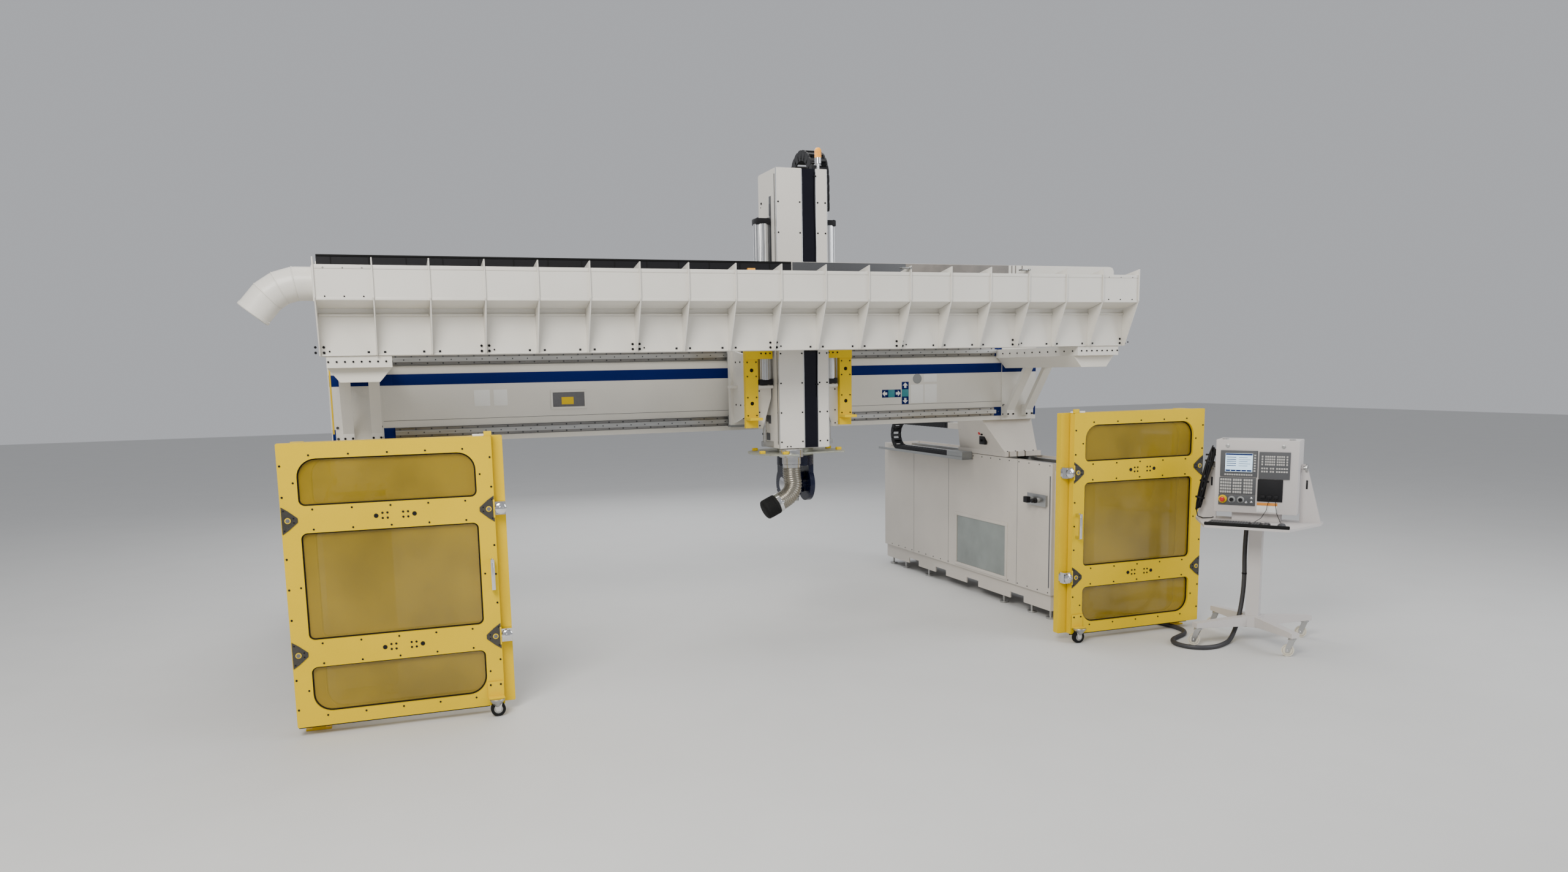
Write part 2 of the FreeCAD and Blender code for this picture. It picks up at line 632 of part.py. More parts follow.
def hanging_chain():
    """Half-turn at the top, near leg on the ram and far leg down to the carriage."""
    near, far, half = 1080, 1530, 45
    centre, radius = (near + far) / 2, (far - near) / 2
    top, near_low, far_low = 3920, 3652, 2604

    def at(y, z):
        return Vector(chain_x[0], y, z)

    outer, inner = radius + half, radius - half
    edges = [Part.LineSegment(at(centre - outer, near_low), at(centre - outer, top)).toShape(),
             Part.Arc(at(centre - outer, top), at(centre, top + outer), at(centre + outer, top)).toShape(),
             Part.LineSegment(at(centre + outer, top), at(centre + outer, far_low)).toShape(),
             Part.LineSegment(at(centre + outer, far_low), at(centre + inner, far_low)).toShape(),
             Part.LineSegment(at(centre + inner, far_low), at(centre + inner, top)).toShape(),
             Part.Arc(at(centre + inner, top), at(centre, top + inner), at(centre - inner, top)).toShape(),
             Part.LineSegment(at(centre - inner, top), at(centre - inner, near_low)).toShape(),
             Part.LineSegment(at(centre - inner, near_low), at(centre - outer, near_low)).toShape()]
    face = Part.Face(Part.Wire(edges))
    return shaped(face.extrude(Vector(chain_x[1] - chain_x[0], 0, 0)), "chain")


node("z_chain", hanging_chain())

# ---------------------------------------------------------------- rotary head
hub_top = d.ram_low - 0.4
collar = (330, 690)
plate_low = 1636
node("dust_disc", group(
    cut(fuse(rod((cx, d.head_y - 25, plate_low), d.disc_radius, 12),
             rod((cx, d.head_y, 1614.4), 155, hub_top - 1614.4)),
        rod((*collar, 1600), 101, 100), block((collar[0], 900), (400, 690), (plate_low - 1, plate_low + 13))),
    rod((*collar, 1616), 100, hub_top - 1616),
    rod((*collar, 1558), 78, 57.5), rod((*collar, 1530), 70, 27.5)))


cheek_in, cheek_out, pin_radius = 78, 120, 40


def fork():
    """A top plate and two round-ended cheeks that carry the tilting spindle."""
    axis_y, axis_z = d.head_y, d.tilt_height
    top = cut(rod((cx, axis_y, 1530), 155, 84), rod((collar[0], collar[1], 1520), 84, 100))
    cheeks = []
    for x in (-cheek_out, cheek_in):
        cheeks.append(fuse(rod((cx + x, axis_y, axis_z), 148, cheek_out - cheek_in, "x"),
                           block((cx + x, cx + x + (cheek_out - cheek_in)),
                                 (axis_y - 112, axis_y + 112), (axis_z, 1535))))
    return cut(fuse(top, *cheeks),
               rod((cx - cheek_out - 2, axis_y, axis_z), pin_radius + 0.3, cheek_out * 2 + 4, "x"))


node("head_fork", fork())


def rounded_path(points, fillet_share=0.45, report=None):
    """Straight runs joined by tangent arcs; each arc is as large as its two runs allow."""
    edges, start, length = [], points[0], 0
    for before, corner, after in zip(points, points[1:], points[2:]):
        into, out = (corner - before), (after - corner)
        short = min(into.Length, out.Length)
        turn = into.getAngle(out)
        trim = fillet_share * short
        radius = trim / math.tan(turn / 2)
        if report is not None:
            report.append(radius)
        into.normalize()
        out.normalize()
        enter, leave = corner - into * trim, corner + out * trim
        bisector = (out - into)
        bisector.normalize()
        centre = corner + bisector * math.hypot(radius, trim)
        middle = centre - bisector * radius
        edges.append(Part.LineSegment(start, enter).toShape())
        edges.append(Part.Arc(enter, middle, leave).toShape())
        length += (enter - start).Length + radius * turn
        start = leave
    edges.append(Part.LineSegment(start, points[-1]).toShape())
    return Part.Wire(edges), length + (points[-1] - start).Length


def tube(label, points, radius):
    """A solid round tube along the rounded path, with its volume compared with its length."""
    radii = []
    wire, length = rounded_path(points, report=radii)
    heading = points[1] - points[0]
    ring = Part.Wire(Part.Circle(points[0], heading, radius).toShape())
    solid = wire.makePipeShell([ring], True, True)
    expected = math.pi * radius ** 2 * length
    if abs(solid.Volume / expected - 1) > 0.01:
        raise ValueError(f"{label}: swept volume {solid.Volume} is not {expected}")
    print(f"{label}: length {length:.0f} mm, radii {[round(r) for r in radii]}")
    return shaped(solid, label)


HOSE_ROUTE = [(330, 690, 1529.5), (330, 690, 1455), (346, 690, 1385), (318, 690, 1310),
              (250, 690, 1262), (176, 690, 1228)]
node("dust_hose", tube("dust_hose", [Vector(*p) for p in HOSE_ROUTE], value(d.hose_radius)))
boot_at, boot_way = Vector(*HOSE_ROUTE[-1]), Vector(*HOSE_ROUTE[-1]) - Vector(*HOSE_ROUTE[-2])
boot_way.normalize()
node("dust_boot", shaped(Part.makeCylinder(84, 105, boot_at + boot_way * 0.3, boot_way), "boot"))

node("spindle_unit", fuse(
    rod((cx, d.head_y, 1300), 74, 172),
    rod((cx - (cheek_in - 0.4), d.head_y, d.tilt_height), 62, (cheek_in - 0.4) * 2, "x"),
    rod((cx - (cheek_out - 1), d.head_y, d.tilt_height), pin_radius, (cheek_out - 1) * 2, "x"),
    rod((cx, d.head_y, 1276), 44, 25)))
node("tool_holder", cut(fuse(rod((cx, d.head_y, 1254), 31.5, 21.6), rod((cx, d.head_y, 1222), 25, 33)),
                        rod((cx, d.head_y, 1221), 10, 49)))

# ---------------------------------------------------------------- console (own frame, then turned)
turn = value(d.console_turn)


def place(item):
    return copy_at(item, d.console_x, d.console_y, 0, turn)


half_box = d.box_width * 0.5
face = d.box_front
lifting = [rod((x, face + 60, d.box_high - 0.1), 22, 6) for x in (-250, 250)]
node("console_box", place(fuse(
    block((-half_box, half_box), (face, face + d.box_depth), (d.box_low, d.box_high)),
    block((18, 202), (face - 6, face + 1), (1202, 1378)), *lifting)))
leg_plate = prism([(40, 140), (d.leg_reach + 35, 152), (d.leg_reach + 35, 192), (40, 226)], "XZ", -34, 68)
legs = [copy_at(leg_plate, 0, 0, 0, angle) for angle in (45, 135, 225, 315)]
node("console_stand", place(fuse(block((-50, 50), (-50, 50), (200, d.tray_low)),
                                 block((-75, 75), (-75, 75), (135, 228)),
                                 block((-160, 160), (-90, 90), (d.tray_low - 14, d.tray_low)), *legs)))
tray_plan = [(-311, -496), (311, -496), (476, -20), (476, 104), (-476, 104), (-476, -20)]
wings = [prism([(side * 316, 1030), (side * 474, 1030), (side * 352, 1500), (side * 316, 1500)],
               "XZ", -14, 10) for side in (-1, 1)]
bosses = [rod((x, -9, 1470), 16, 16, "x") for x in (-327.5, 311.5)]
riser = block((-180, 180), (face + 60, face + 190), (d.tray_top - 1, d.box_low))
node("console_tray", place(fuse(prism(tray_plan, "XY", d.tray_low, 20), *wings, *bosses, riser)))
node("control_panels", place(group(
    block((-271, 9), (face - 14, face), (1396, 1609)),
    block((21, 250), (face - 14, face), (1384, 1602)),
    block((-275, 3), (face - 8, face), (1250, 1388)),
    cut(fuse(block((-277, 3), (face - 8, face), (1160, 1246)), rod((-243, face - 22, 1208), 30, 14, "y")),
        rod((-243, face - 23, 1208), d.stop_stem + 0.4, 18, "y")))))
node("estop_button", place(fuse(rod((-243, face - 46, 1208), 20, 16, "y"),
                                rod((-243, face - 30.5, 1208), d.stop_stem, 10, "y"))))
node("feed_knob", place(rod((-174, face - 30, 1207), 15, 21.6, "y")))
node("spindle_knob", place(rod((-106, face - 30, 1207), 15, 21.6, "y")))
node("keyboard", place(group(
    block((-300, 150), (-455, -305), (d.tray_top, d.tray_top + 24)),
    block((-311, 311), (-496, -468), (d.tray_top, d.tray_top + 28)),
    block((205, 270), (-420, -310), (d.tray_top, d.tray_top + 32)))))

reach = d.leg_reach
caster_at = [(math.cos(math.radians(a)), math.sin(math.radians(a))) for a in (225, 315, 45, 135)]
for number, (along, away) in enumerate(caster_at, start=1):
    x, y = reach * along, reach * away
    plates = [prism([(-22, 139), (22, 139), (-16, d.caster_radius - 16), (-44, d.caster_radius - 16),
                     (-44, d.caster_radius + 20)], "XZ", side, 4) for side in (-24, 20)]
    caster = fuse(rod((0, 0, 138), 30, 10), block((-30, 24), (-24, 24), (132, 139)), *plates)
    node(f"console_fork_{number}", place(copy_at(caster, x, y)))
    roller = cut(rod((-30, -15, d.caster_radius), d.caster_radius, 30, "y"),
                 rod((-30, -16, d.caster_radius), 6, 32, "y"))
    node(f"console_wheel_{number}", place(copy_at(roller, x, y)))

CONDUIT_ROUTE = [(3892, -593, 994), (3884, -586, 770), (3892, -592, 530), (3880, -588, 320),
                 (3828, -596, 130), (3722, -640, 20), (3600, -706, 19), (3478, -752, 19),
                 (3352, -742, 19), (3262, -660, 19), (3242, -536, 19), (3306, -424, 19),
                 (3424, -362, 19), (3540, -310, 19), (3620, -212, 19), (3640, -80, 19),
                 (3624, 60, 19), (3600, 200, 19), (3582, 340, 19), (3548, 475, 19), (3490, 595, 19),
                 (3418, 690, 22), (3352, 717.5, 31)]
node("conduit", tube("conduit", [Vector(*p) for p in CONDUIT_ROUTE], value(d.conduit_radius)))

# ---------------------------------------------------------------- checks and export
doc.recompute()
for item in doc.Objects:
    if "Invalid" in item.State or "Error" in item.State:
        raise RuntimeError(f"{item.Label} failed: {item.State}")
for item in nodes:
    if item.Shape.isNull() or not item.Shape.isValid() or not item.Shape.Solids:
        raise RuntimeError(f"{item.Label} is not a valid solid")
box = FreeCAD.BoundBox()
for item in nodes:
    if item.Label != "conduit":
        box.add(item.Shape.BoundBox)
to_origin = Vector(-box.Center.x, -box.Center.y, -box.ZMin)
print("nodes", len(nodes), "size", box.XLength, box.YLength, box.ZLength, "shift", to_origin)
os.makedirs("parts", exist_ok=True)
for item in nodes:
    placed = item.Shape.copy()
    placed.translate(to_origin)
    placed.exportStep(f"parts/{item.Label}.step")
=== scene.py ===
"""Looks of the moving-bridge CNC router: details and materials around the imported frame."""
import bpy
import bmesh
import math
from mathutils import Matrix, Vector


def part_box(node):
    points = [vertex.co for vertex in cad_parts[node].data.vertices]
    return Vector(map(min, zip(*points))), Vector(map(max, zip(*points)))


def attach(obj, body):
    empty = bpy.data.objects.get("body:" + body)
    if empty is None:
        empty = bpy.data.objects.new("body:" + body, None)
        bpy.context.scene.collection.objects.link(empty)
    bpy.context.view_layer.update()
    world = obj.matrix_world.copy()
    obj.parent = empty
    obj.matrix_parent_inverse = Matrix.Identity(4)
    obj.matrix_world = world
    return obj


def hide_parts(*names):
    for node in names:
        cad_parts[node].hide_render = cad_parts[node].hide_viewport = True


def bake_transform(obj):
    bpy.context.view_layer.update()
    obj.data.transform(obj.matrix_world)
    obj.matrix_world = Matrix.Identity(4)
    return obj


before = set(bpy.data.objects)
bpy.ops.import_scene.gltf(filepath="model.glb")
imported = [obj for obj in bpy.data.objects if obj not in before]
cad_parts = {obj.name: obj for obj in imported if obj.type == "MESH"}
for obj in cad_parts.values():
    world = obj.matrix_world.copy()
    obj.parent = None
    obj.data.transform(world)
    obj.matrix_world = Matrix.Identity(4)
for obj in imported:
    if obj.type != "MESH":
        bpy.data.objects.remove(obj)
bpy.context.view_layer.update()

# Machine millimetres: X = 0 at the middle of the trough, Y = 0 at its front face, Z = 0 on the floor.
MM = 0.001
TROUGH_HALF = 3200.4
trough_low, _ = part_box("trough")
SHIFT = Vector((trough_low[0] + TROUGH_HALF * MM, trough_low[1], 0))
MACHINE = Matrix.Translation(SHIFT) @ Matrix.Scale(MM, 4)
CONSOLE_TURN = math.radians(-53.8)
CONSOLE = MACHINE @ Matrix.Translation((3915, -675, 0)) @ Matrix.Rotation(CONSOLE_TURN, 4, "Z")
FRONT, BACK, UP, DOWN = (0, -1, 0), (0, 1, 0), (0, 0, 1), (0, 0, -1)
LEFT, RIGHT = (-1, 0, 0), (1, 0, 0)


def at(x, y, z):
    return MACHINE @ Vector((x, y, z))


# ------------------------------------------------------------------ camera
CAMERA_AT = (-2916, -7558, 2341)
YAW, PITCH, ROLL = 0.344834, 0.139480, -0.0193852
LENS, SENSOR = 24.69, 36.0
SHIFT_X, SHIFT_Y = 0.0151, 0.0535


def add_camera():
    forward = Vector((math.sin(YAW) * math.cos(PITCH), math.cos(YAW) * math.cos(PITCH), -math.sin(PITCH)))
    right = Vector((math.cos(YAW), -math.sin(YAW), 0))
    up = right.cross(forward)
    side = math.cos(ROLL) * right + math.sin(ROLL) * up
    top = -math.sin(ROLL) * right + math.cos(ROLL) * up
    camera = bpy.data.objects.new("camera", bpy.data.cameras.new("camera"))
    bpy.context.collection.objects.link(camera)
    turn = Matrix((side, top, -forward)).transposed().to_4x4()
    camera.matrix_world = Matrix.Translation(at(*CAMERA_AT)) @ turn
    camera.data.lens, camera.data.sensor_width = LENS, SENSOR
    camera.data.shift_x, camera.data.shift_y = SHIFT_X, SHIFT_Y
    camera.data.clip_end = 200
    bpy.context.scene.camera = camera


add_camera()


# ------------------------------------------------------------------ materials
BROAD_SCALE, BROAD_SHARE, FINE_SHARE = 1.6, 0.68, 0.35
DARKEST, LIGHTEST = 2.2, 0.4
BUMP_DEPTH = 0.0006


def material(name, color, rough=0.45, metal=0.0, vary=0.06, grain=40.0, bump=0.02,
             coat=0.0, bevel=0.0, stretch=(1, 1, 1), **extra):
    """A procedural finish: two-scale colour variation, roughness variation and a fine bump."""
    m = bpy.data.materials.new(name)
    m.use_nodes = True
    nodes, links = m.node_tree.nodes, m.node_tree.links
    shader = nodes["Principled BSDF"]

    def fill(node, **inputs):
        for key, number in inputs.items():
            node.inputs[key.replace("_", " ")].default_value = number
        return node

    def add(kind, **inputs):
        return fill(nodes.new("ShaderNode" + kind), **inputs)

    def link(source, output, target, socket):
        links.new(source.outputs[output], target.inputs[socket])

    fill(shader, Metallic=metal, Coat_Weight=coat, **extra)
    coords = nodes.new("ShaderNodeTexCoord")
    mapping = add("Mapping", Scale=stretch)
    link(coords, "Object", mapping, "Vector")
    broad = add("TexNoise", Scale=BROAD_SCALE, Detail=6)
    fine = add("TexNoise", Scale=grain, Detail=4)
    for texture in (broad, fine):
        link(mapping, "Vector", texture, "Vector")
    dark = tuple(c * (1 - vary * DARKEST) for c in color)
    light = tuple(min(1, c * (1 + vary * LIGHTEST)) for c in color)
    mix = nodes.new("ShaderNodeMix")
    mix.data_type = "RGBA"
    fill(mix, A=(*dark, 1), B=(*light, 1))
    ramp = add("MapRange", From_Min=0.32, From_Max=0.6)
    blend = nodes.new("ShaderNodeMath")
    blend.operation = "MULTIPLY_ADD"
    blend.inputs[1].default_value = FINE_SHARE
    broad_part = nodes.new("ShaderNodeMath")
    broad_part.operation = "MULTIPLY"
    broad_part.inputs[1].default_value = BROAD_SHARE
    link(fine, "Fac", blend, 0)
    link(broad, "Fac", broad_part, 0)
    link(broad_part, 0, blend, 2)
    link(blend, 0, ramp, "Value")
    link(ramp, "Result", mix, "Factor")
    link(mix, "Result", shader, "Base Color")
    rough_range = add("MapRange", To_Min=max(0.03, rough - 0.1), To_Max=min(1, rough + 0.12))
    link(fine, "Fac", rough_range, "Value")
    link(rough_range, "Result", shader, "Roughness")
    bumper = add("Bump", Strength=bump * 10, Distance=BUMP_DEPTH)
    link(fine, "Fac", bumper, "Height")
    if bevel:
        rounded_edge = add("Bevel", Radius=bevel)
        rounded_edge.samples = 4
        link(rounded_edge, "Normal", bumper, "Normal")
    link(bumper, "Normal", shader, "Normal")
    return m


WHITE = material("white_paint", (0.74, 0.715, 0.655), 0.42, vary=0.035, grain=180, bump=0.012, coat=0.15,
                 bevel=0.003)
PANEL = material("panel_white", (0.72, 0.69, 0.635), 0.4, vary=0.03, grain=150, bump=0.01, coat=0.2)
# Painted shade for the duct mouth, the access window and the door hole bores; also the colour of the dark
# base seams.
SHADE = material("painted_shade_and_seam_grey", (0.13, 0.13, 0.14), 0.55, vary=0.12, grain=60)
BASE = material("base_paint", (0.62, 0.575, 0.515), 0.48, vary=0.05, grain=160, bump=0.015, coat=0.1,
                bevel=0.003)
CONSOLE_PAINT = material("console_paint", (0.60, 0.57, 0.555), 0.5, vary=0.02, grain=900, bump=0.03,
                         bevel=0.002)
BLUE = material("royal_blue", (0.0, 0.010, 0.12), 0.45, vary=0.06, grain=200, Specular_IOR_Level=0.12)
YELLOW = material("safety_yellow", (0.80, 0.54, 0.0), 0.42, vary=0.04, grain=190, bump=0.012, bevel=0.002,
                  Specular_IOR_Level=0.22)
NAVY = material("navy_gloss", (0.003, 0.006, 0.028), 0.24, vary=0.2, grain=90, bevel=0.004,
                Specular_IOR_Level=0.35)
GUNMETAL = material("gusset_steel", (0.085, 0.08, 0.07), 0.42, 0.75, vary=0.16, grain=90, bump=0.02)
# Painted shade: this taupe stands in for the shade on the white rear wall inside the trough.
TAUPE = material("taupe_painted_shade", (0.22, 0.20, 0.18), 0.5, vary=0.2, grain=12)
# Dark charcoal for bolts, seams, covers and keys; also the painted shade and reflection on the trough's rear
# wall.
CHARCOAL = material("charcoal_and_painted_shade", (0.06, 0.062, 0.068), 0.42, vary=0.1, grain=160)
BLACK = material("black_plastic", (0.009, 0.009, 0.011), 0.5, vary=0.15, grain=260, bump=0.03,
                 Specular_IOR_Level=0.25)
RUBBER = material("black_rubber", (0.009, 0.009, 0.009), 0.8, vary=0.2, grain=300, bump=0.06,
                  Specular_IOR_Level=0.2)
GLOSS = material("dark_glass_strip", (0.004, 0.004, 0.009), 0.16, vary=0.1, grain=8, bump=0.002,
                 Specular_IOR_Level=0.3)
STEEL = material("brushed_steel", (0.50, 0.50, 0.49), 0.34, 1.0, vary=0.14, grain=130, stretch=(0.05, 1, 1),
                 bevel=0.002)
STRIP = material("rail_strip_steel", (0.30, 0.29, 0.275), 0.3, 1.0, vary=0.16, grain=70, stretch=(0.08, 1, 1))
CHROME = material("chrome", (0.72, 0.72, 0.73), 0.1, 1.0, vary=0.05, grain=30, bump=0.004)
ALUMINIUM = material("aluminium", (0.66, 0.67, 0.68), 0.3, 1.0, vary=0.06, grain=200, stretch=(1, 1, 0.04))
HOSE = material("spiral_hose", (0.27, 0.25, 0.21), 0.27, 0.92, vary=0.2, grain=160, bump=0.05)
DISC = material("disc_plate", (0.46, 0.47, 0.40), 0.4, 0.6, vary=0.12, grain=60)
GREY = material("grey_enamel", (0.27, 0.28, 0.285), 0.45, vary=0.07, grain=160, bevel=0.002)
AMBER = material("amber_lens", (0.95, 0.42, 0.03), 0.18, vary=0.06, grain=20, coat=0.4,
                 Emission_Color=(1.0, 0.35, 0.02, 1), Emission_Strength=0.25)
RED = material("red_button", (0.62, 0.015, 0.012), 0.25, vary=0.06, grain=60, coat=0.3)
TINT = material("amber_pane", (0.40, 0.27, 0.012), 0.14, vary=0.16, grain=3, bump=0.002, coat=0.4,
                Alpha=0.58)
SMOKE = material("smoke_pane", (0.24, 0.27, 0.255), 0.2, vary=0.12, grain=5, bump=0.002, coat=0.3)
CREAM = material("cream_hub", (0.72, 0.68, 0.56), 0.4, vary=0.04, grain=120)
TREAD = material("red_brown_tread", (0.27, 0.055, 0.03), 0.5, vary=0.12, grain=160)
SCREEN = material("screen", (0.55, 0.72, 0.86), 0.12, vary=0.05, grain=4, bump=0.0,
                  Emission_Color=(0.55, 0.74, 0.92, 1), Emission_Strength=0.9)
KEYS = material("key_grey", (0.52, 0.51, 0.49), 0.5, vary=0.04, grain=300)
BEZEL = material("bezel_grey", (0.085, 0.088, 0.095), 0.5, vary=0.08, grain=300)
ORANGE = material("orange_label", (0.80, 0.30, 0.04), 0.4, vary=0.03, grain=100)
PAPER = material("white_label", (0.85, 0.85, 0.83), 0.45, vary=0.02, grain=100)
TEAL = material("teal_plate", (0.02, 0.25, 0.30), 0.35, vary=0.05, grain=100)
CONDUIT = material("conduit_grey", (0.045, 0.045, 0.05), 0.5, vary=0.12, grain=200)
COLLAR = material("turned_collar", (0.70, 0.70, 0.70), 0.16, 1.0, vary=0.1, grain=60, stretch=(1, 1, 12))


# ------------------------------------------------------------------ mesh builder
class Build:
    """Collects solids in one mesh, in millimetres of its own frame, and makes a riding piece."""

    def __init__(self, name, finish, body, slot, matrix=MACHINE):
        self.name, self.finish, self.body, self.slot, self.matrix = name, finish, body, slot, matrix
        self.mesh = bmesh.new()

    def box(self, x, y, z, edge=0.0, turn=None):
        corners = [Vector((i, j, k)) for i in sorted(x) for j in sorted(y) for k in sorted(z)]
        if turn:
            pivot = Vector(((x[0] + x[1]) / 2, (y[0] + y[1]) / 2, (z[0] + z[1]) / 2))
            corners = [pivot + turn @ (c - pivot) for c in corners]
        v = [self.mesh.verts.new(c) for c in corners]
        quads = ((0, 1, 3, 2), (4, 6, 7, 5), (0, 4, 5, 1), (2, 3, 7, 6), (0, 2, 6, 4), (1, 5, 7, 3))
        faces = [self.mesh.faces.new([v[i] for i in q]) for q in quads]
        if edge:
            edges = {e for f in faces for e in f.edges}
            bmesh.ops.bevel(self.mesh, geom=list(edges), offset=edge, segments=2, affect="EDGES", profile=0.6)
        return self

    def turned(self, profile, base, axis=UP, sides=28):
        """A closed solid of revolution from (distance along the axis, radius) pairs."""
        turn = Vector(UP).rotation_difference(Vector(axis)).to_matrix()
        rings = []
        for along, radius in profile:
            ring = []
            for step in range(sides):
                a = 2 * math.pi * step / sides
                offset = turn @ Vector((radius * math.cos(a), radius * math.sin(a), along))
                ring.append(self.mesh.verts.new(Vector(base) + offset))
            rings.append(ring)
        return self.close(rings)

    def close(self, rings):
        """Closes a solid through rings of vertices: its wall and both ends."""
        for low, high in zip(rings, rings[1:]):
            for i in range(len(low)):
                j = (i + 1) % len(low)
                self.mesh.faces.new((low[i], low[j], high[j], high[i]))
        self.mesh.faces.new(list(reversed(rings[0])))
        self.mesh.faces.new(rings[-1])
        return self

    def rod(self, base, radius, length, axis=UP, edge=1.0, sides=28):
        edge = min(edge, radius * 0.4, length * 0.4)
        profile = ((0, radius - edge), (edge, radius), (length - edge, radius), (length, radius - edge))
        return self.turned(profile, base, axis, sides)

    def bolt(self, head, radius=7, height=6, axis=FRONT):
        """A round cap-head screw with a conical socket."""
        profile = ((0, radius), (height * 0.8, radius), (height, radius * 0.8), (height, radius * 0.5),
                   (height * 0.45, radius * 0.42))
        return self.turned(profile, head, axis, 10)

    def prism(self, outline, depth, lift, edge=0.0):
        """Extrudes a closed outline; lift maps (u, v, w) to a point and depth is the w range."""
        low = [self.mesh.verts.new(lift(u, v, depth[0])) for u, v in outline]
        high = [self.mesh.verts.new(lift(u, v, depth[1])) for u, v in outline]
        total = len(outline)
        faces = [self.mesh.faces.new(low), self.mesh.faces.new(list(reversed(high)))]
        for i in range(total):
            faces.append(self.mesh.faces.new((low[i], high[i], high[(i + 1) % total], low[(i + 1) % total])))
        if edge:
            edges = {e for f in faces for e in f.edges}
            bmesh.ops.bevel(self.mesh, geom=list(edges), offset=edge, segments=2, affect="EDGES")
        return self

    def sweep(self, points, radii, sides=14):
        """A round tube through points, closed at both ends; radii is one number or a list."""
        points = [Vector(point) for point in points]
        radii = radii if isinstance(radii, list) else [radii] * len(points)
        rings, side = [], None
        for i, point in enumerate(points):
            heading = (points[min(i + 1, len(points) - 1)] - points[max(i - 1, 0)]).normalized()
            side = side or heading.orthogonal()
            side = (side - heading * side.dot(heading)).normalized()
            other = heading.cross(side)
            rings.append([self.mesh.verts.new(point + radii[i] * (math.cos(a) * side + math.sin(a) * other))
                          for a in (2 * math.pi * s / sides for s in range(sides))])
        return self.close(rings)

    def done(self, replaces=(), blend=None, smooth=38):
        self.mesh.transform(self.matrix)
        bmesh.ops.recalc_face_normals(self.mesh, faces=self.mesh.faces)
        data = bpy.data.meshes.new(self.name)
        self.mesh.to_mesh(data)
        self.mesh.free()
        data.polygons.foreach_set("use_smooth", [True] * len(data.polygons))
        data.set_sharp_from_angle(angle=math.radians(smooth))
        data.materials.append(self.finish)
        piece = bpy.data.objects.new(self.name, data)
        bpy.context.collection.objects.link(piece)
        if replaces:
            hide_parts(*replaces)
        if blend:
            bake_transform(piece)
        else:
            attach(piece, self.body)
        return piece


def facing(u, v, w):
    """Lift for outlines drawn in (x, z), extruded along y."""
    return Vector((u, w, v))


def edgewise(u, v, w):
    """Lift for outlines drawn in (y, z), extruded along x."""
    return Vector((w, u, v))


def level(u, v, w):
    """Lift for outlines drawn in (x, y), extruded along z."""
    return Vector((u, v, w))


def proud(face, by):
    """The depth range of a detail that stands proud of a face."""
    return face - by, face + 0.5


def on_console(name, finish, slot):
    return Build(name, finish, "bases", slot, CONSOLE)


def paint(finish, *names):
    for name in names:
        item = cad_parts[name]
        item.data.materials.clear()
        item.data.materials.append(finish)


paint(WHITE, "bridge_beam", "bridge_end_plates", "trough", "trough_ribs", "dust_elbow", "trough_brackets",
      "carriage_plate", "ram_column")
paint(PANEL, "ram_covers")
paint(BASE, "bases", "saddles")
paint(YELLOW, "guard_bars", "door_posts")
paint(GREY, "service_boxes", "x_drive", "y_drive")
paint(STEEL, "y_rails", "x_rails", "cylinder_rods", "tool_holder", "levelling_feet")
paint(STRIP, "rail_strips")
paint(GLOSS, "ram_strip")
paint(BLACK, "slot_belt")
paint(NAVY, "head_fork", "spindle_unit")
paint(SMOKE, "base_windows")
paint(CHROME, "left_door_fittings", "right_door_fittings")
paint(CONSOLE_PAINT, "console_stand", "console_tray")
paint(RUBBER, "left_door_wheel", "right_door_wheel")
paint(STEEL, *[f"console_fork_{n}" for n in range(1, 5)])
paint(CREAM, *[f"console_wheel_{n}" for n in range(1, 5)])

# ------------------------------------------------------------------ conduit (free cord)
CONDUIT_ROUTE = [(3892, -593, 994), (3884, -586, 770), (3892, -592, 530), (3880, -588, 320),
                 (3828, -596, 130), (3722, -640, 20), (3600, -706, 19), (3478, -752, 19),
                 (3352, -742, 19), (3262, -660, 19), (3242, -536, 19), (3306, -424, 19),
                 (3424, -362, 19), (3540, -310, 19), (3620, -212, 19), (3640, -80, 19),
                 (3624, 60, 19), (3600, 200, 19), (3582, 340, 19), (3548, 475, 19), (3490, 595, 19),
                 (3418, 690, 22), (3352, 717.5, 31)]


def smooth_points(name, route):
    """Points read from a NURBS spline whose control points are the route, in metres."""
    curve = bpy.data.curves.new(name, "CURVE")
    curve.dimensions = "3D"
    spline = curve.splines.new("NURBS")
    spline.points.add(len(route) - 1)
    for point, place in zip(spline.points, route):
        point.co = (*at(*place), 1)
    spline.order_u = 3
    spline.use_endpoint_u = True
    spline.resolution_u = 24
    holder = bpy.data.objects.new(name, curve)
    bpy.context.collection.objects.link(holder)
    bpy.context.view_layer.update()
    mesh = bpy.data.meshes.new_from_object(holder)
    points = [v.co.copy() for v in mesh.vertices]
    bpy.data.objects.remove(holder)
    bpy.data.curves.remove(curve)
    bpy.data.meshes.remove(mesh)
    return points


def evenly(points, step):
    """The same line with points a fixed step apart."""
    result, left = [points[0]], step
    for a, b in zip(points, points[1:]):
        run = (b - a).length
        along = left
        while along <= run:
            result.append(a.lerp(b, along / run))
            along += step
        left = along - run
    return result + [points[-1]]


def conduit():
    points = evenly(smooth_points("conduit_route", CONDUIT_ROUTE), 0.004)
    radii = [0.019 if i % 2 else 0.0172 for i in range(len(points))]
    tube = Build("conduit_tube", CONDUIT, "bases", "black_plastic", Matrix.Identity(4))
    piece = tube.sweep(points, radii, 16).done(replaces=["conduit"], smooth=180)
    clamp = Build("conduit_tie", BLACK, "bases", "black_plastic")
    clamp.turned(((0, 20), (2, 22), (12, 22), (14, 20)), (3890.5, -591, 560), (0.02, 0.01, 1), 24)
    clamp.box((3896, 3918), (-634, -606), (563, 571), 1)
    clamp.done()


conduit()

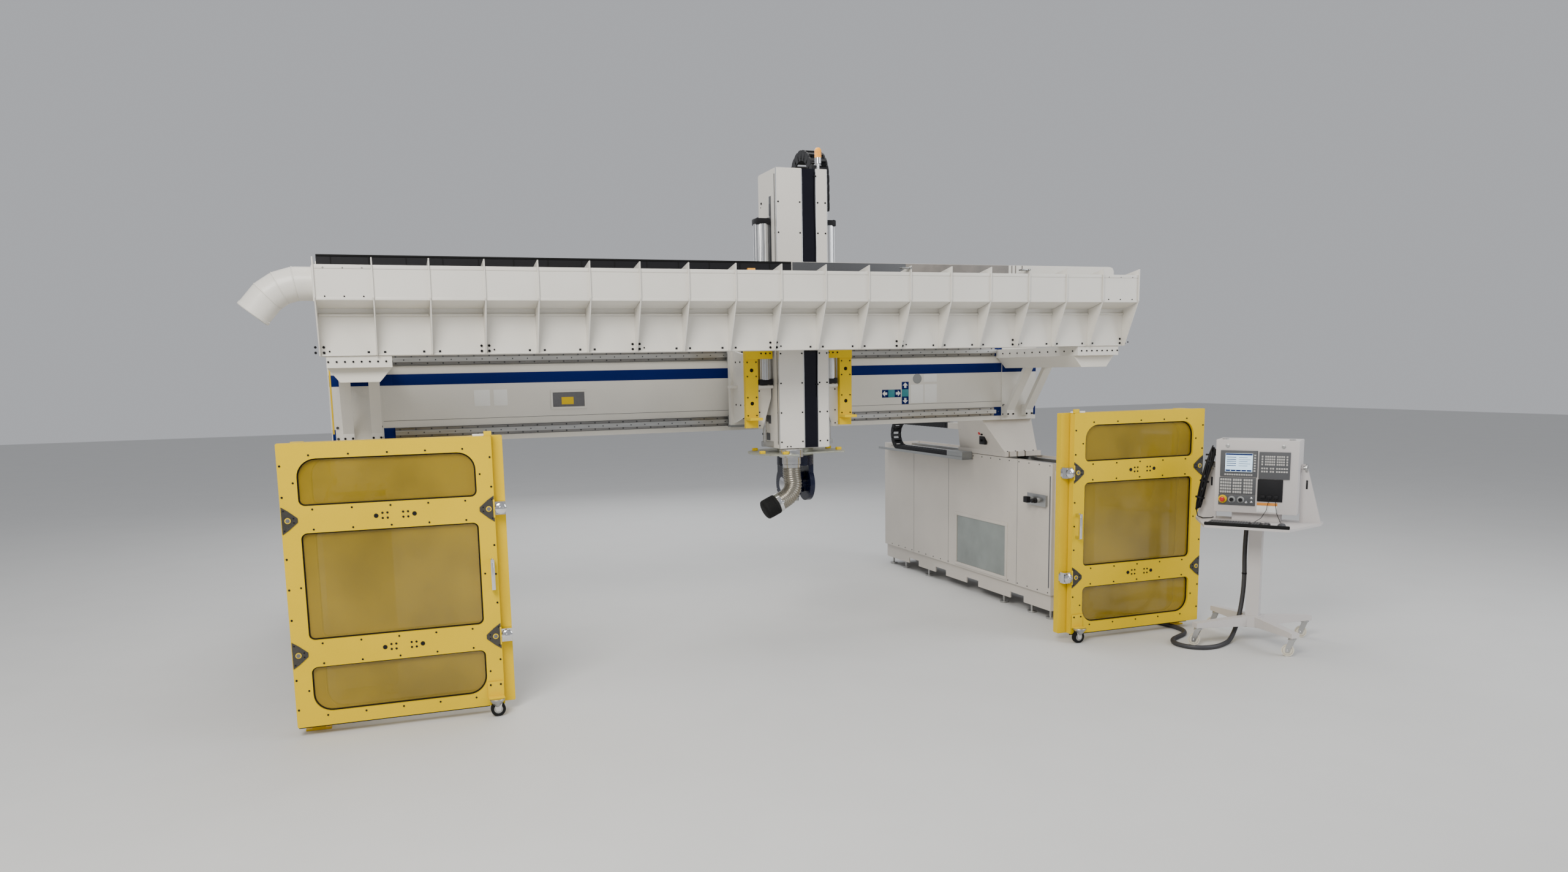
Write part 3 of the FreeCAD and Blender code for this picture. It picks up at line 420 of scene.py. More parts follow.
# ------------------------------------------------------------------ trough details
BAY = 355.6
RIB_X = [BAY * (n - 9) for n in range(19)]
PANEL_Y, BAND_LOW, PANEL_LOW = 189, 2832, 2479
REAR_INSIDE = ((298, 300.9), (2850, 3148))


def trough_details():
    bolts = Build("trough_bolts", BLACK, "bridge", "black_plastic")
    for n, x in enumerate(RIB_X):
        if n % 3 == 0:
            for dx in (-26, 26):
                for dz in (22, 58):
                    bolts.bolt((x + dx, PANEL_Y, PANEL_LOW + dz), 9, 8)
            bolts.bolt((x + 60, PANEL_Y, PANEL_LOW + 30), 6, 5)
        else:
            for dx in (-52, 52):
                bolts.box((x + dx - 8, x + dx + 8), proud(PANEL_Y, 3), (PANEL_LOW + 16, PANEL_LOW + 30), 2)
    for x0 in (RIB_X[0], RIB_X[-2]):
        for dx in (60, 178, 296):
            bolts.bolt((x0 + dx, 0, BAND_LOW + 24), 5, 4)
            bolts.bolt((x0 + dx, 0, 3036), 5, 4)
    bolts.done()
    lips = Build("trough_lips", WHITE, "bridge", "white_paint")
    for x0, x1 in zip(RIB_X, RIB_X[1:]):
        lips.box((x0 + 5, x1 - 5), (-3, 0.5), (3030, 3056), 1.2)
        lips.box((x0 + 5, x1 - 5), (-2.5, 0.5), (BAND_LOW, BAND_LOW + 18), 1)
        lips.box((x0 + 7, x1 - 7), proud(PANEL_Y, 10), (PANEL_LOW, PANEL_LOW + 10), 1.2)
        lips.box((x0 + 7, x1 - 7), proud(PANEL_Y, 16), (2740, 2752), 1.2)
    lips.done()
    belt = Build("belt_seams", RUBBER, "bridge", "rubber")
    for x in range(-3100, 200, 240):
        belt.box((x, x + 5), (296, 300.5), (2900, 3146), 1)
    belt.box((-3186, 198), (294, 300.5), (3138, 3150), 1.5)
    belt.done()
    outline = [(206, 2828), (3186, 2828), (3186, 3110), (3174, 3138), (3146, 3150), (206, 3150)]
    Build("trough_rear_sheet", WHITE, "bridge", "white_paint").prism(outline, (301, 305), facing, 1).done()
    # Painted shade and painted reflection: the white rear wall's inner face is drawn as a dark strip on the
    # left, then a taupe band and three thin taupe strips on the right.
    Build("rear_sheet_painted_shade", CHARCOAL, "bridge", "dark_gloss").box(
        (207, 1180), *REAR_INSIDE, 1).done()
    grey = Build("rear_sheet_painted_grey_shade", TAUPE, "bridge", "steel")
    grey.box((1182, 2133), *REAR_INSIDE, 1)
    for x in (2160, 2196, 2260):
        grey.box((x, x + 9), *REAR_INSIDE, 1)
    grey.done()
    Build("trough_marker", AMBER, "bridge", "beacon").box((-165, -105), (270, 293), (3062, 3096), 4).done()
    clamps = Build("trough_clamps", STEEL, "bridge", "steel")
    for n in (12, 15):
        clamps.box((RIB_X[n] - 74, RIB_X[n] + 6), (-10, 40), (3080, 3092), 2)
        clamps.bolt((RIB_X[n] - 5, -12, 3086), 9, 8)
    clamps.done()


trough_details()


def duct_heading(turn):
    """The way the duct points once it has turned down by so many degrees."""
    return Vector((-math.cos(math.radians(turn)), 0, -math.sin(math.radians(turn))))


def elbow_details():
    """Raised seams of the duct's segments, its mouth ring and a dark disc of painted shade in its opening."""
    seams = Build("elbow_seams", WHITE, "bridge", "white_paint")
    place, turns, lengths = Vector((-3198, 150, 2944)), (0, 17, 34, 50), (120, 95, 95, 150)
    for turn, length in zip(turns, lengths):
        heading = duct_heading(turn)
        place = place + heading * length
        if turn == turns[-1]:
            back = place - heading * 24
            seams.turned(((0, 109), (3, 113), (20, 113), (23, 109)), back, heading, 36)
        else:
            seams.turned(((-4, 109), (-2, 112.5), (2, 112.5), (4, 109)), place, duct_heading(turn + 8.5), 36)
    seams.done()
    # Painted shade: a dark disc stands for the shadowed inside of the duct's mouth.
    Build("elbow_mouth", SHADE, "bridge", "rubber").turned(
        ((0, 103), (1.5, 102)), place - heading * 0.5, heading, 36).done()
    Build("elbow_flange", WHITE, "bridge", "white_paint").box(
        (-3212, -3200.6), (30, 270), (2826, 3052), 2).done()


elbow_details()

# ------------------------------------------------------------------ bridge details
BRIDGE_FRONT, STRIP_FACE = 1471, 1459
LOW_RAIL, HIGH_RAIL = 1892, 2463
STRIPE_Z = (2266, 2353)
SADDLE_Z = 1500


def bridge_details():
    stripe = Build("bridge_stripe", BLUE, "bridge", "navy_paint")
    stripe.box((-2735, 2735), proud(BRIDGE_FRONT, 1.5), STRIPE_Z, 0.4)
    for side in (-1, 1):
        span = (side * 2735, side * 2820)
        stripe.box(span, proud(BRIDGE_FRONT, 1.5), STRIPE_Z, 0.4)
        for z in (LOW_RAIL, HIGH_RAIL):
            stripe.box(span, proud(BRIDGE_FRONT, 2), (z - 42, z + 42), 0.4)
        stripe.box((side * 2820, side * 3198), proud(STRIP_FACE, 1.5), STRIPE_Z, 0.4)
        stripe.box((side * 3176, side * 3198), proud(STRIP_FACE, 1.5), (1850, 1934), 0.4)
    stripe.done()
    bolts = Build("rail_bolts", CHARCOAL, "bridge", "steel")
    for x in range(-2700, 2720, 120):
        for z in (LOW_RAIL, HIGH_RAIL):
            for dz in (-27, 27):
                bolts.bolt((x, STRIP_FACE, z + dz), 6.5, 5)
            bolts.bolt((x + 60, STRIP_FACE - 38, z), 5.5, 1.5)
    for side in (-1, 1):
        for x in (2838, 3160):
            for z in (1862, 1948, 2440, 2528):
                bolts.bolt((side * x, STRIP_FACE, z), 11, 9)
    bolts.done()
    seams = Build("bridge_seams", CHARCOAL, "bridge", "black_plastic")
    for z in (1988, 2418):
        seams.box((-2818, 2818), proud(BRIDGE_FRONT, 0.6), (z - 1.5, z + 1.5), 0)
    for z in (LOW_RAIL, HIGH_RAIL):
        for dz in (-41, 38):
            seams.box((-2734, 2734), proud(BRIDGE_FRONT, 4), (z + dz, z + dz + 3), 0)
    seams.done()
    window = Build("access_frame", WHITE, "bridge", "white_paint")
    wx, wz = -1350, 2120
    bars = ((-150, 150, 60, 78), (-150, 150, -78, -60), (-150, -132, -60, 60), (132, 150, -60, 60))
    for x0, x1, z0, z1 in bars:
        window.box((wx + x0, wx + x1), proud(BRIDGE_FRONT, 6), (wz + z0, wz + z1), 1.5)
    window.done()
    # Painted shade: a dark sheet stands for the shadowed space behind the access window.
    Build("access_window", SHADE, "bridge", "dark_gloss").box(
        (wx - 131, wx + 131), proud(BRIDGE_FRONT, 2), (wz - 59, wz + 59), 0.5).done()
    backs = Build("arrow_plates", BLUE, "bridge", "dark_gloss")
    backs.box((1546, 1740), proud(BRIDGE_FRONT, 1.5), (2055, 2127), 0.5)
    backs.box((1750, 1822), proud(BRIDGE_FRONT, 1.5), (1990, 2196), 0.5)
    backs.done()
    plates = Build("arrow_centres", TEAL, "bridge", "dark_gloss")
    plates.box((1610, 1676), (BRIDGE_FRONT - 2.3, BRIDGE_FRONT - 1), (2057, 2125), 0.5)
    plates.box((1752, 1820), (BRIDGE_FRONT - 2.3, BRIDGE_FRONT - 1), (2060, 2126), 0.5)
    plates.done()
    arrows = Build("arrow_marks", PAPER, "bridge", "white_paint")
    pointed = [(-27, 0), (0, 27), (0, 11), (22, 11), (22, -11), (0, -11), (0, -27)]
    marks = ((1576, 2091, 1, 0), (1710, 2091, -1, 0), (1786, 2024, 1, 1), (1786, 2162, -1, 1))
    for x, z, way, upright in marks:
        shape = [(x + way * v, z + way * u) if upright else (x + way * u, z + way * v) for u, v in pointed]
        arrows.prism(shape, (BRIDGE_FRONT - 2.6, BRIDGE_FRONT - 1), facing)
    arrows.done()
    blanks = Build("blank_plates", PAPER, "bridge", "white_paint")
    for x0, x1, z0, z1 in ((-2115, -1990, 2085, 2215), (-1960, -1850, 2085, 2215), (1842, 1976, 1996, 2168),
                           (1988, 2118, 1996, 2168), (1980, 2118, 2190, 2262)):
        blanks.box((x0, x1), proud(BRIDGE_FRONT, 1.5), (z0, z1), 0.5)
    blanks.done()
    Build("round_plate", GREY, "bridge", "steel").turned(
        ((0, 44), (1.5, 46), (2, 46), (2.4, 44)), (1911, BRIDGE_FRONT, 2222), FRONT, 32).done()
    tags = Build("yellow_marks", YELLOW, "bridge", "yellow_paint")
    tags.box((-3196, -3184), (BRIDGE_FRONT - 15, BRIDGE_FRONT - 11.5), (1900, 2500), 1)
    tags.box((wx - 60, wx + 40), (BRIDGE_FRONT - 5, BRIDGE_FRONT - 1.8), (wz - 40, wz + 20), 1)
    tags.done()


bridge_details()


def bracket_details():
    bolts = Build("bracket_bolts", BLACK, "bridge", "black_plastic")
    for side in (-1, 1):
        for x in range(2790, 3160, 52):
            bolts.bolt((side * x, 191, 2440), 7, 6)
        for x in (2845, 2901, 3052, 3108):
            for z in (1866, 1934):
                bolts.bolt((side * x, 1385, z), 9, 8)
        for y in range(260, 1440, 120):
            bolts.bolt((side * 2752, y, 2440), 7, 6, (-side, 0, 0))
    bolts.done()


bracket_details()


def saddle_details():
    bolts = Build("saddle_bolts", CHARCOAL, "bridge", "steel")
    for side in (-1, 1):
        for x in (2860, 2950, 3050, 3150):
            for y in (1416, 2262):
                bolts.bolt((side * x, y, SADDLE_Z), 10, 9, UP)
        for y in range(1500, 2260, 150):
            bolts.bolt((side * 3215, y, SADDLE_Z), 10, 9, UP)
    bolts.done()
    box = Build("saddle_switch_box", BLACK, "bridge", "black_plastic")
    box.box((2744, 2776), (1640, 1740), (1560, 1700), 4)
    box.rod((2748, 1690, 1600), 12, 26, LEFT)
    box.rod((2748, 1665, 1660), 9, 30, LEFT)
    box.done()
    Build("saddle_stop_button", RED, "bridge", "red_plastic").turned(
        ((0, 8), (10, 8), (11, 17), (20, 17), (26, 12)), (2746, 1712, 1672), LEFT, 20).done()


saddle_details()

# ------------------------------------------------------------------ base details
INNER, OUTER = 2827, 3292
SEAM_Z = (236, 1445)
END_Z = (300, 1380)


def base_details():
    screws = Build("base_screws", CHARCOAL, "bases", "steel")
    seams = Build("base_seams", SHADE, "bases", "dark_gloss")
    trims = Build("base_trims", BASE, "bases", "white_paint")
    for side in (-1, 1):
        facing_in, facing_out = (-side, 0, 0), (side, 0, 0)
        for y in range(664, 3960, 165):
            screws.bolt((side * INNER, y, 1424), 6, 4, facing_in)
            screws.bolt((side * OUTER, y, 1424), 6, 4, facing_out)
            screws.bolt((side * INNER, y, 256), 6, 4, facing_in)
        for y in (1362, 1560, 1820, 2080, 2318):
            for z in (266, 797):
                screws.bolt((side * INNER, y, z), 5, 4, facing_in)
        span = (side * (INNER - 0.8), side * (INNER + 0.5))
        for y in (1180, 2480, 3260):
            seams.box(span, (y - 2, y + 2), SEAM_Z, 0)
        seams.box(span, (646, 664), (300, 1330), 0)
        span = (side * (OUTER - 0.5), side * (OUTER + 0.8))
        for y in (1300, 2100, 2900):
            seams.box(span, (y - 2, y + 2), SEAM_Z, 0)
        for y0, y1, z0, z1 in ((1345, 2335, 780, 815), (1345, 2335, 250, 283),
                               (1345, 1380, 283, 780), (2300, 2335, 283, 780)):
            trims.box((side * (INNER - 5), side * (INNER + 0.5)), (y0, y1), (z0, z1), 1.5)
        ends = (side * (INNER + 30), side * (OUTER - 30))
        trims.box(ends, (618, 624.5), END_Z, 2)
        trims.box(ends, (3985.5, 3992), END_Z, 2)
    screws.done()
    seams.done()
    trims.done()
    plug = Build("service_plug", BLACK, "bases", "black_plastic")
    plug.turned(((0, 25), (18, 25), (22, 20), (46, 20), (52, 15)), (2776, 800, 1098), LEFT, 26)
    plug.box((2728, 2768), (874, 936), (1070, 1127), 5)
    plug.done()
    Build("service_plate_face", STEEL, "bases", "steel").box(
        (2802.5, 2805.5), (684, 981), (1044, 1154), 1).done()
    guard = Build("way_covers", CHARCOAL, "bases", "rubber")
    for side in (-1, 1):
        for y in range(690, 3900, 34):
            guard.box((side * 3000, side * 3120), (y, y + 30), (1400.5, 1412), 2)
    guard.done()


base_details()


# ------------------------------------------------------------------ energy chains
# A link's side plate with its waist, and a crossbar, as shares of their half sizes.
LINK = ((-1, -0.82), (-0.5, -1), (0.5, -1), (1, -0.82), (1, 0.82), (0.5, 1), (-0.5, 1), (-1, 0.82))
BAR = ((-1, -1), (1, -1), (1, 1), (-1, 1))


def chain_points(run_a, bend, run_b, step):
    """Evenly spaced places and headings along a run, a half turn and the run back."""
    (a_end, a_level), (b_end, b_level) = run_a, run_b
    middle, radius = (a_level + b_level) / 2, (b_level - a_level) / 2
    sign = 1 if bend > a_end else -1
    line = [(a_end + (bend - a_end) * t / 40, a_level) for t in range(40)]
    line += [(bend + sign * radius * math.sin(t), middle - radius * math.cos(t))
             for t in (math.pi * k / 24 for k in range(25))]
    line += [(bend + (b_end - bend) * t / 40, b_level) for t in range(1, 41)]
    return evenly([Vector((u, v, 0)) for u, v in line], step)


def chain(name, route, across, half, lift, node, blend, body):
    """Interlocking links: two side plates with a waist and the crossbars between them."""
    links = Build(name, BLACK, body, "black_plastic")
    pitch = (route[1] - route[0]).length
    for a, b in zip(route, route[1:]):
        way = b - a
        if way.length < pitch * 0.5:
            continue
        way.normalize()
        normal = Vector((-way.y, way.x, 0))
        mid = (a + b) / 2

        def corner(along, off):
            spot = mid + way * along + normal * off
            return spot.x, spot.y

        reach, thick = pitch * 0.54, (across[1] - across[0]) * 0.09
        plate = [corner(u * reach, v * half) for u, v in LINK]
        for depth in ((across[0], across[0] + thick), (across[1] - thick, across[1])):
            links.prism(plate, depth, lift)
        for off in (-half * 0.86, half * 0.86):
            bar = [corner(u * reach * 0.36, off + v * half * 0.12) for u, v in BAR]
            links.prism(bar, (across[0] + thick, across[1] - thick), lift)
    return links.done(replaces=[node], blend=blend)


chain("y_chain_links", chain_points((2316, 1423), 3430, (2304, 1723), 62), (2712, 2816), 29, edgewise,
      "y_chain", ("bases", "bridge", at(2760, 2900, 1440), at(2760, 2900, 1706)), "bases")
chain("x_chain_links", chain_points((314, 2613), -640, (770, 2873), 62), (1692, 1838), 29, facing,
      "x_chain", ("bridge", "carriage", at(0, 1765, 2630), at(0, 1765, 2856)), "bridge")


def z_route():
    """Up from the ram, over a half turn and down to the carriage, as (y, z)."""
    radius, middle, top, start = 225, 1305, 3920, 3652
    line = [(1080, start + (top - start) * t / 20) for t in range(20)]
    line += [(middle - radius * math.cos(t), top + radius * math.sin(t))
             for t in (math.pi * k / 24 for k in range(25))]
    line += [(1530, top + (2604 - top) * t / 40) for t in range(1, 41)]
    return evenly([Vector((y, z, 0)) for y, z in line], 74)


chain("z_chain_links", z_route(), (692, 848), 44, edgewise,
      "z_chain", ("carriage", "ram", at(770, 1500, 3900), at(770, 1110, 3900)), "ram")

# ------------------------------------------------------------------ carriage, cylinders and ram
CX, CYLINDER_Y = 456, 870
RAM_SIDE = 236


def cylinder_details():
    """Ribbed aluminium barrels with black end caps and tie rods."""
    barrels = Build("cylinder_barrels", ALUMINIUM, "carriage", "aluminium")
    caps = Build("cylinder_caps", BLACK, "carriage", "black_plastic")
    for side in (-1, 1):
        centre = CX + side * 290
        outline = []
        for step in range(96):
            a = 2 * math.pi * step / 96
            radius = 61 if step % 6 in (1, 2) else 64.5
            outline.append((centre + radius * math.cos(a), CYLINDER_Y + radius * math.sin(a)))
        barrels.prism(outline, (2250, 3500), level)
        for z0, z1 in ((2210, 2256), (3494, 3545)):
            caps.box((centre - 60, centre + 60), (810, 930), (z0, z1), 9)
            for dx, dy in ((-44, -44), (44, -44), (-44, 44), (44, 44)):
                caps.rod((centre + dx, CYLINDER_Y + dy, z1 - 6 if z0 > 3000 else z0 - 3), 9, 9, UP, 1, 8)
        caps.rod((centre, CYLINDER_Y, 2205), 30, 8)
    caps.done(replaces=["counterbalance_cylinders"])
    barrels.done()


cylinder_details()


def carriage_details():
    bolts = Build("carriage_bolts", BLACK, "carriage", "black_plastic")
    for side in (-1, 1):
        for z in (1962, 2110, 2280, 2395, 2440, 2490):
            for dx in (382, 458):
                bolts.bolt((CX + side * dx, 800, z), 6, 5)
        for x in (262, 300, 340):
            bolts.bolt((CX + side * x, 790, 2465), 7, 6)
        for z in (1920, 2090, 2250, 2420, 2490):
            bolts.bolt((CX + side * 330, 1300, z), 8, 7)
        for y in (900, 1000, 1100, 1220):
            for z in (2400, 2040):
                bolts.bolt((CX + side * 416, y, z), 7, 6, (side, 0, 0))
        for z in (1875, 1985, 2160):
            bolts.bolt((CX + side * 340, 850, z), 6, 5)
    bolts.done()
    stops = Build("guard_rubber_stops", RUBBER, "carriage", "rubber")
    for side in (-1, 1):
        for z in (2060, 2330):
            stops.rod((CX + side * 420, 806, z), 15.5, 40, BACK, 2, 20)
    stops.done()
    motor = Build("x_motor_fins", CHARCOAL, "carriage", "black_plastic")
    for y in range(966, 1150, 16):
        motor.rod((CX - 320, y, 2095), 63, 8, BACK, 1.5, 32)
    motor.done()


carriage_details()


def ram_details():
    screws = Build("ram_screws", BLACK, "ram", "steel")
    for z in range(1740, 3900, 240):
        for x in (252, 438, 594, 660):
            screws.bolt((x, 700, z), 7, 4)
        for y in (740, 1060):
            screws.bolt((RAM_SIDE, y, z), 5, 3, LEFT)
            screws.bolt((676, y, z), 5, 3, RIGHT)
    for x in (300, 330):
        screws.bolt((x, 700, 1702), 6, 4)
    screws.done()
    edges = Build("ram_edge_trims", ALUMINIUM, "ram", "aluminium")
    for x0, x1 in ((452, 458), (574.5, 580.5)):
        edges.box((x0, x1), (698, 704), (1690, 3920), 1)
    edges.box((234.5, 238), (698.5, 712), (1690, 3922), 1)
    edges.box((674, 677.5), (698.5, 712), (1690, 3922), 1)
    edges.done()
    latch = Build("ram_side_channel", CHARCOAL, "ram", "black_plastic")
    latch.box((233.5, 236.5), (820, 866), (3120, 3720), 1)
    latch.box((229, 236), (828, 858), (3570, 3660), 2)
    latch.box((234.4, 236.5), (900, 1080), (1885, 1955), 0.6)
    latch.box((233, 236.5), (930, 1080), (1745, 1805), 1)
    latch.box((233.5, 236.5), (730, 742), (1720, 3880), 0.5)
    latch.done()
    Build("ram_side_block", WHITE, "ram", "white_paint").box(
        (222, 236.5), (960, 1060), (1810, 1900), 3).done()
    knobs = Build("ram_side_knobs", BLACK, "ram", "black_plastic")
    for y, z in ((985, 1890), (985, 1822), (1100, 1720), (1100, 1790), (1040, 3160), (1040, 3690)):
        knobs.bolt((223 if z in (1890, 1822) else RAM_SIDE, y, z), 9, 7, LEFT)
    knobs.done()
    lead = Build("ram_strip_lead", BLACK, "ram", "black_plastic")
    sway = ((572, 3900), (566, 3700), (574, 3300), (568, 2900), (575, 2500), (570, 2100))
    lead.sweep([(x, 697, z) for x, z in sway], 4, 8)
    for z in (3860, 3000, 2200):
        lead.box((562, 582), (692, 703.5), (z, z + 12), 1)
    lead.done()
    lamp = Build("beacon_stem", CHROME, "ram", "chrome")
    x, y, z = CX + 184, 790, 3924
    lamp.turned(((0, 22), (5, 22), (7, 11), (56, 11), (58, 26), (104, 26), (106, 24)), (x, y, z), UP, 28)
    lamp.done()
    lens = Build("beacon_lens", AMBER, "ram", "beacon")
    rings = [(0, 26)] + [(4 + 6 * k + d, 28.5 if d < 3 else 26.5) for k in range(10) for d in (0, 3)]
    rings += [(66, 25), (78, 17), (81, 6)]
    lens.turned(rings, (x, y, z + 104), UP, 32)
    lens.done(replaces=["beacon"])


ram_details()

# ------------------------------------------------------------------ head, hose and dust boot
HOSE_ROUTE = [(330, 690, 1529.5), (330, 690, 1455), (346, 690, 1385), (318, 690, 1310),
              (250, 690, 1262), (176, 690, 1228)]
HOSE_RADIUS = 74
HOSE_XY = (330, 690)
AXIS_Y, TILT_Z = 925, 1370


def head_details():
    points = evenly(smooth_points("hose_route", HOSE_ROUTE), 0.0042)
    radii = [(HOSE_RADIUS + (1.8, 0.6, -6.2, 0.6)[i % 4]) * MM for i in range(len(points))]
    hose = Build("spiral_hose", HOSE, "rotary_head", "hose_metal", Matrix.Identity(4))
    hose.sweep(points, radii, 40).done(replaces=["dust_hose"], smooth=180)
    end, heading = Vector(HOSE_ROUTE[-1]), (Vector(HOSE_ROUTE[-1]) - Vector(HOSE_ROUTE[-2])).normalized()
    band = Build("hose_band", CHROME, "rotary_head", "chrome")
    band.turned(((0, 75), (1.5, 79), (30, 79), (31.5, 75)), end - heading * 52, heading, 40)
    band.box((end.x + 28, end.x + 52), (604, 618), (end.z + 20, end.z + 42), 3)
    band.done()
    boot = Build("brush_boot", RUBBER, "rotary_head", "rubber")
    profile = [(-18, 77), (-16, 82), (4, 83), (8, 80)]
    profile += [(14 + 9 * k + e, 83.5 if e < 4 else 81.2) for k in range(7) for e in (0, 4)]
    profile += [(84, 83), (96, 77), (103, 64), (105, 30)]
    boot.turned(profile, end, heading, 48)
    boot.done(replaces=["dust_boot"])
    collars = Build("hose_collars", COLLAR, "rotary_head", "steel")
    collars.turned(((0, 97), (2, 100), (62, 100), (64, 98)), (*HOSE_XY, 1617), UP, 56)
    collars.turned(((0, 75), (1.5, 78), (54, 78), (56, 76)), (*HOSE_XY, 1559), UP, 56)
    collars.turned(((0, 70), (1, 73), (26, 73), (28, 70)), (*HOSE_XY, 1530), UP, 56)
    collars.done()
    disc = Build("dust_plate", DISC, "rotary_head", "steel")
    front = [(CX + 410 * math.cos(a), 900 + 410 * math.sin(a)) for a in
             (math.radians(-30.8 + 282.9 * k / 96) for k in range(97))]
    outline = front + [HOSE_XY]
    disc.prism(outline, (1636, 1648), level, 1.5)
    disc.rod((CX, AXIS_Y, 1614.4), 155, 68, UP, 3, 56)
    disc.done(replaces=["dust_disc"])
    bolts = Build("head_bolts", CHROME, "rotary_head", "chrome")
    for x, way in ((CX - 120, -1), (CX + 120, 1)):
        for k in range(12):
            a = math.radians(200 + 12.5 * k)
            bolts.bolt((x, AXIS_Y + 132 * math.cos(a), TILT_Z + 132 * math.sin(a)), 5.5, 4.5, (way, 0, 0))
        bolts.turned(((0, 58), (2, 60), (5, 60), (7, 54)), (x, AXIS_Y, TILT_Z), (way, 0, 0), 40)
    for k in range(16):
        a = 2 * math.pi * k / 16
        bolts.bolt((CX + 143 * math.cos(a), AXIS_Y + 143 * math.sin(a), 1530), 5, 4, DOWN)
    bolts.done()
    clips = Build("disc_clips", YELLOW, "rotary_head", "yellow_paint")
    for a in (200, 235, 352, 20, 90, 140):
        x, y = CX + 372 * math.cos(math.radians(a)), 900 + 372 * math.sin(math.radians(a))
        clips.box((x - 22, x + 22), (y - 16, y + 16), (1647.5, 1670), 3)
    clips.done()
    nose = Build("spindle_rings", CHROME, "spindle", "chrome")
    nose.turned(((0, 74), (2, 75.5), (12, 75.5), (14, 73)), (CX, AXIS_Y, 1304), UP, 48)
    nose.turned(((0, 45), (2, 47), (10, 47), (12, 44)), (CX, AXIS_Y, 1278), UP, 40)
    nose.done()


head_details()

# ------------------------------------------------------------------ guard doors
LEAF_W, LEAF_H, LEAF_T, LEAF_LOW, STILE = 1333, 1862, 60, 68, 111
WINDOW_ROWS = ((1457, 1761, 120, 40), (575, 1282, 40, 40), (90, 397, 40, 120))
RAIL_ROWS = ((1282, 1457), (397, 575))
SEAL_W = 9
HINGE_Z = (554, 1438)
# Side, left edge of the front leaf, its front face, and which way its leading edge looks.
DOORS = (("left", -3495, -131, 1), ("right", 2530, -93, -1))
REAR_IN, REAR_BACK = 80, 70


def rounded(x0, x1, z0, z1, top, bottom, steps=8):
    """A rounded rectangle with its own corner radius above and below."""
    points = []
    corners = ((x1 - top, z1 - top, top), (x0 + top, z1 - top, top),
               (x0 + bottom, z0 + bottom, bottom), (x1 - bottom, z0 + bottom, bottom))
    for quarter, (cx, cz, radius) in enumerate(corners):
        for k in range(steps + 1):
            a = math.radians(90 * quarter + 90 * k / steps)
            points.append((cx + radius * math.cos(a), cz + radius * math.sin(a)))
    return points


def leaf(name, x, y, body, node):
    """One framed guard leaf: a yellow frame cut by three rounded windows, its tinted panes and seals."""
    skin = Build(f"{name}_frame", YELLOW, body, "yellow_paint")
    spans = [((x + STILE, x + LEAF_W - STILE, LEAF_LOW + z0, LEAF_LOW + z1), top, low)
             for z0, z1, top, low in sorted(WINDOW_ROWS)]
    mesh = skin.mesh
    loops = [rounded(x, x + LEAF_W, LEAF_LOW, LEAF_LOW + LEAF_H, 8, 8, 3)]
    loops += [rounded(*span, top, low) for span, top, low in spans]
    for face_y in (y, y + LEAF_T):
        edges = []
        for loop in loops:
            ring = [mesh.verts.new((u, face_y, v)) for u, v in loop]
            edges += [mesh.edges.new((a, b)) for a, b in zip(ring, ring[1:] + ring[:1])]
        bmesh.ops.triangle_fill(mesh, edges=edges, use_beauty=True, use_dissolve=False)
    for loop in loops:
        front = [mesh.verts.new((u, y, v)) for u, v in loop]
        back = [mesh.verts.new((u, y + LEAF_T, v)) for u, v in loop]
        for i in range(len(loop)):
            j = (i + 1) % len(loop)
            mesh.faces.new((front[i], front[j], back[j], back[i]))
    bmesh.ops.remove_doubles(mesh, verts=mesh.verts, dist=0.01)
    skin.done(replaces=[node])
    panes = Build(f"{name}_panes", TINT, body, "window")
    seals = Build(f"{name}_seals", RUBBER, body, "rubber")
    for span, top, low in spans:
        full = rounded(*span, top, low)
        panes.prism(full, (y + 27, y + 32), facing)
        smaller = [edge + way * SEAL_W for edge, way in zip(span, (1, -1, 1, -1))]
        inset = rounded(*smaller, max(14, top - SEAL_W), max(14, low - SEAL_W))
        outer0, outer1, inner0, inner1 = [[seals.mesh.verts.new((u, d, v)) for u, v in ring]
                                          for ring in (full, inset) for d in (y + 20, y + 26.6)]
        for i in range(len(full)):
            j = (i + 1) % len(full)
            seals.mesh.faces.new((outer0[i], outer0[j], inner0[j], inner0[i]))
            seals.mesh.faces.new((outer1[i], inner1[i], inner1[j], outer1[j]))
            seals.mesh.faces.new((inner0[i], inner0[j], inner1[j], inner1[i]))
            seals.mesh.faces.new((outer0[i], outer1[i], outer1[j], outer0[j]))
    panes.done()
    seals.done()


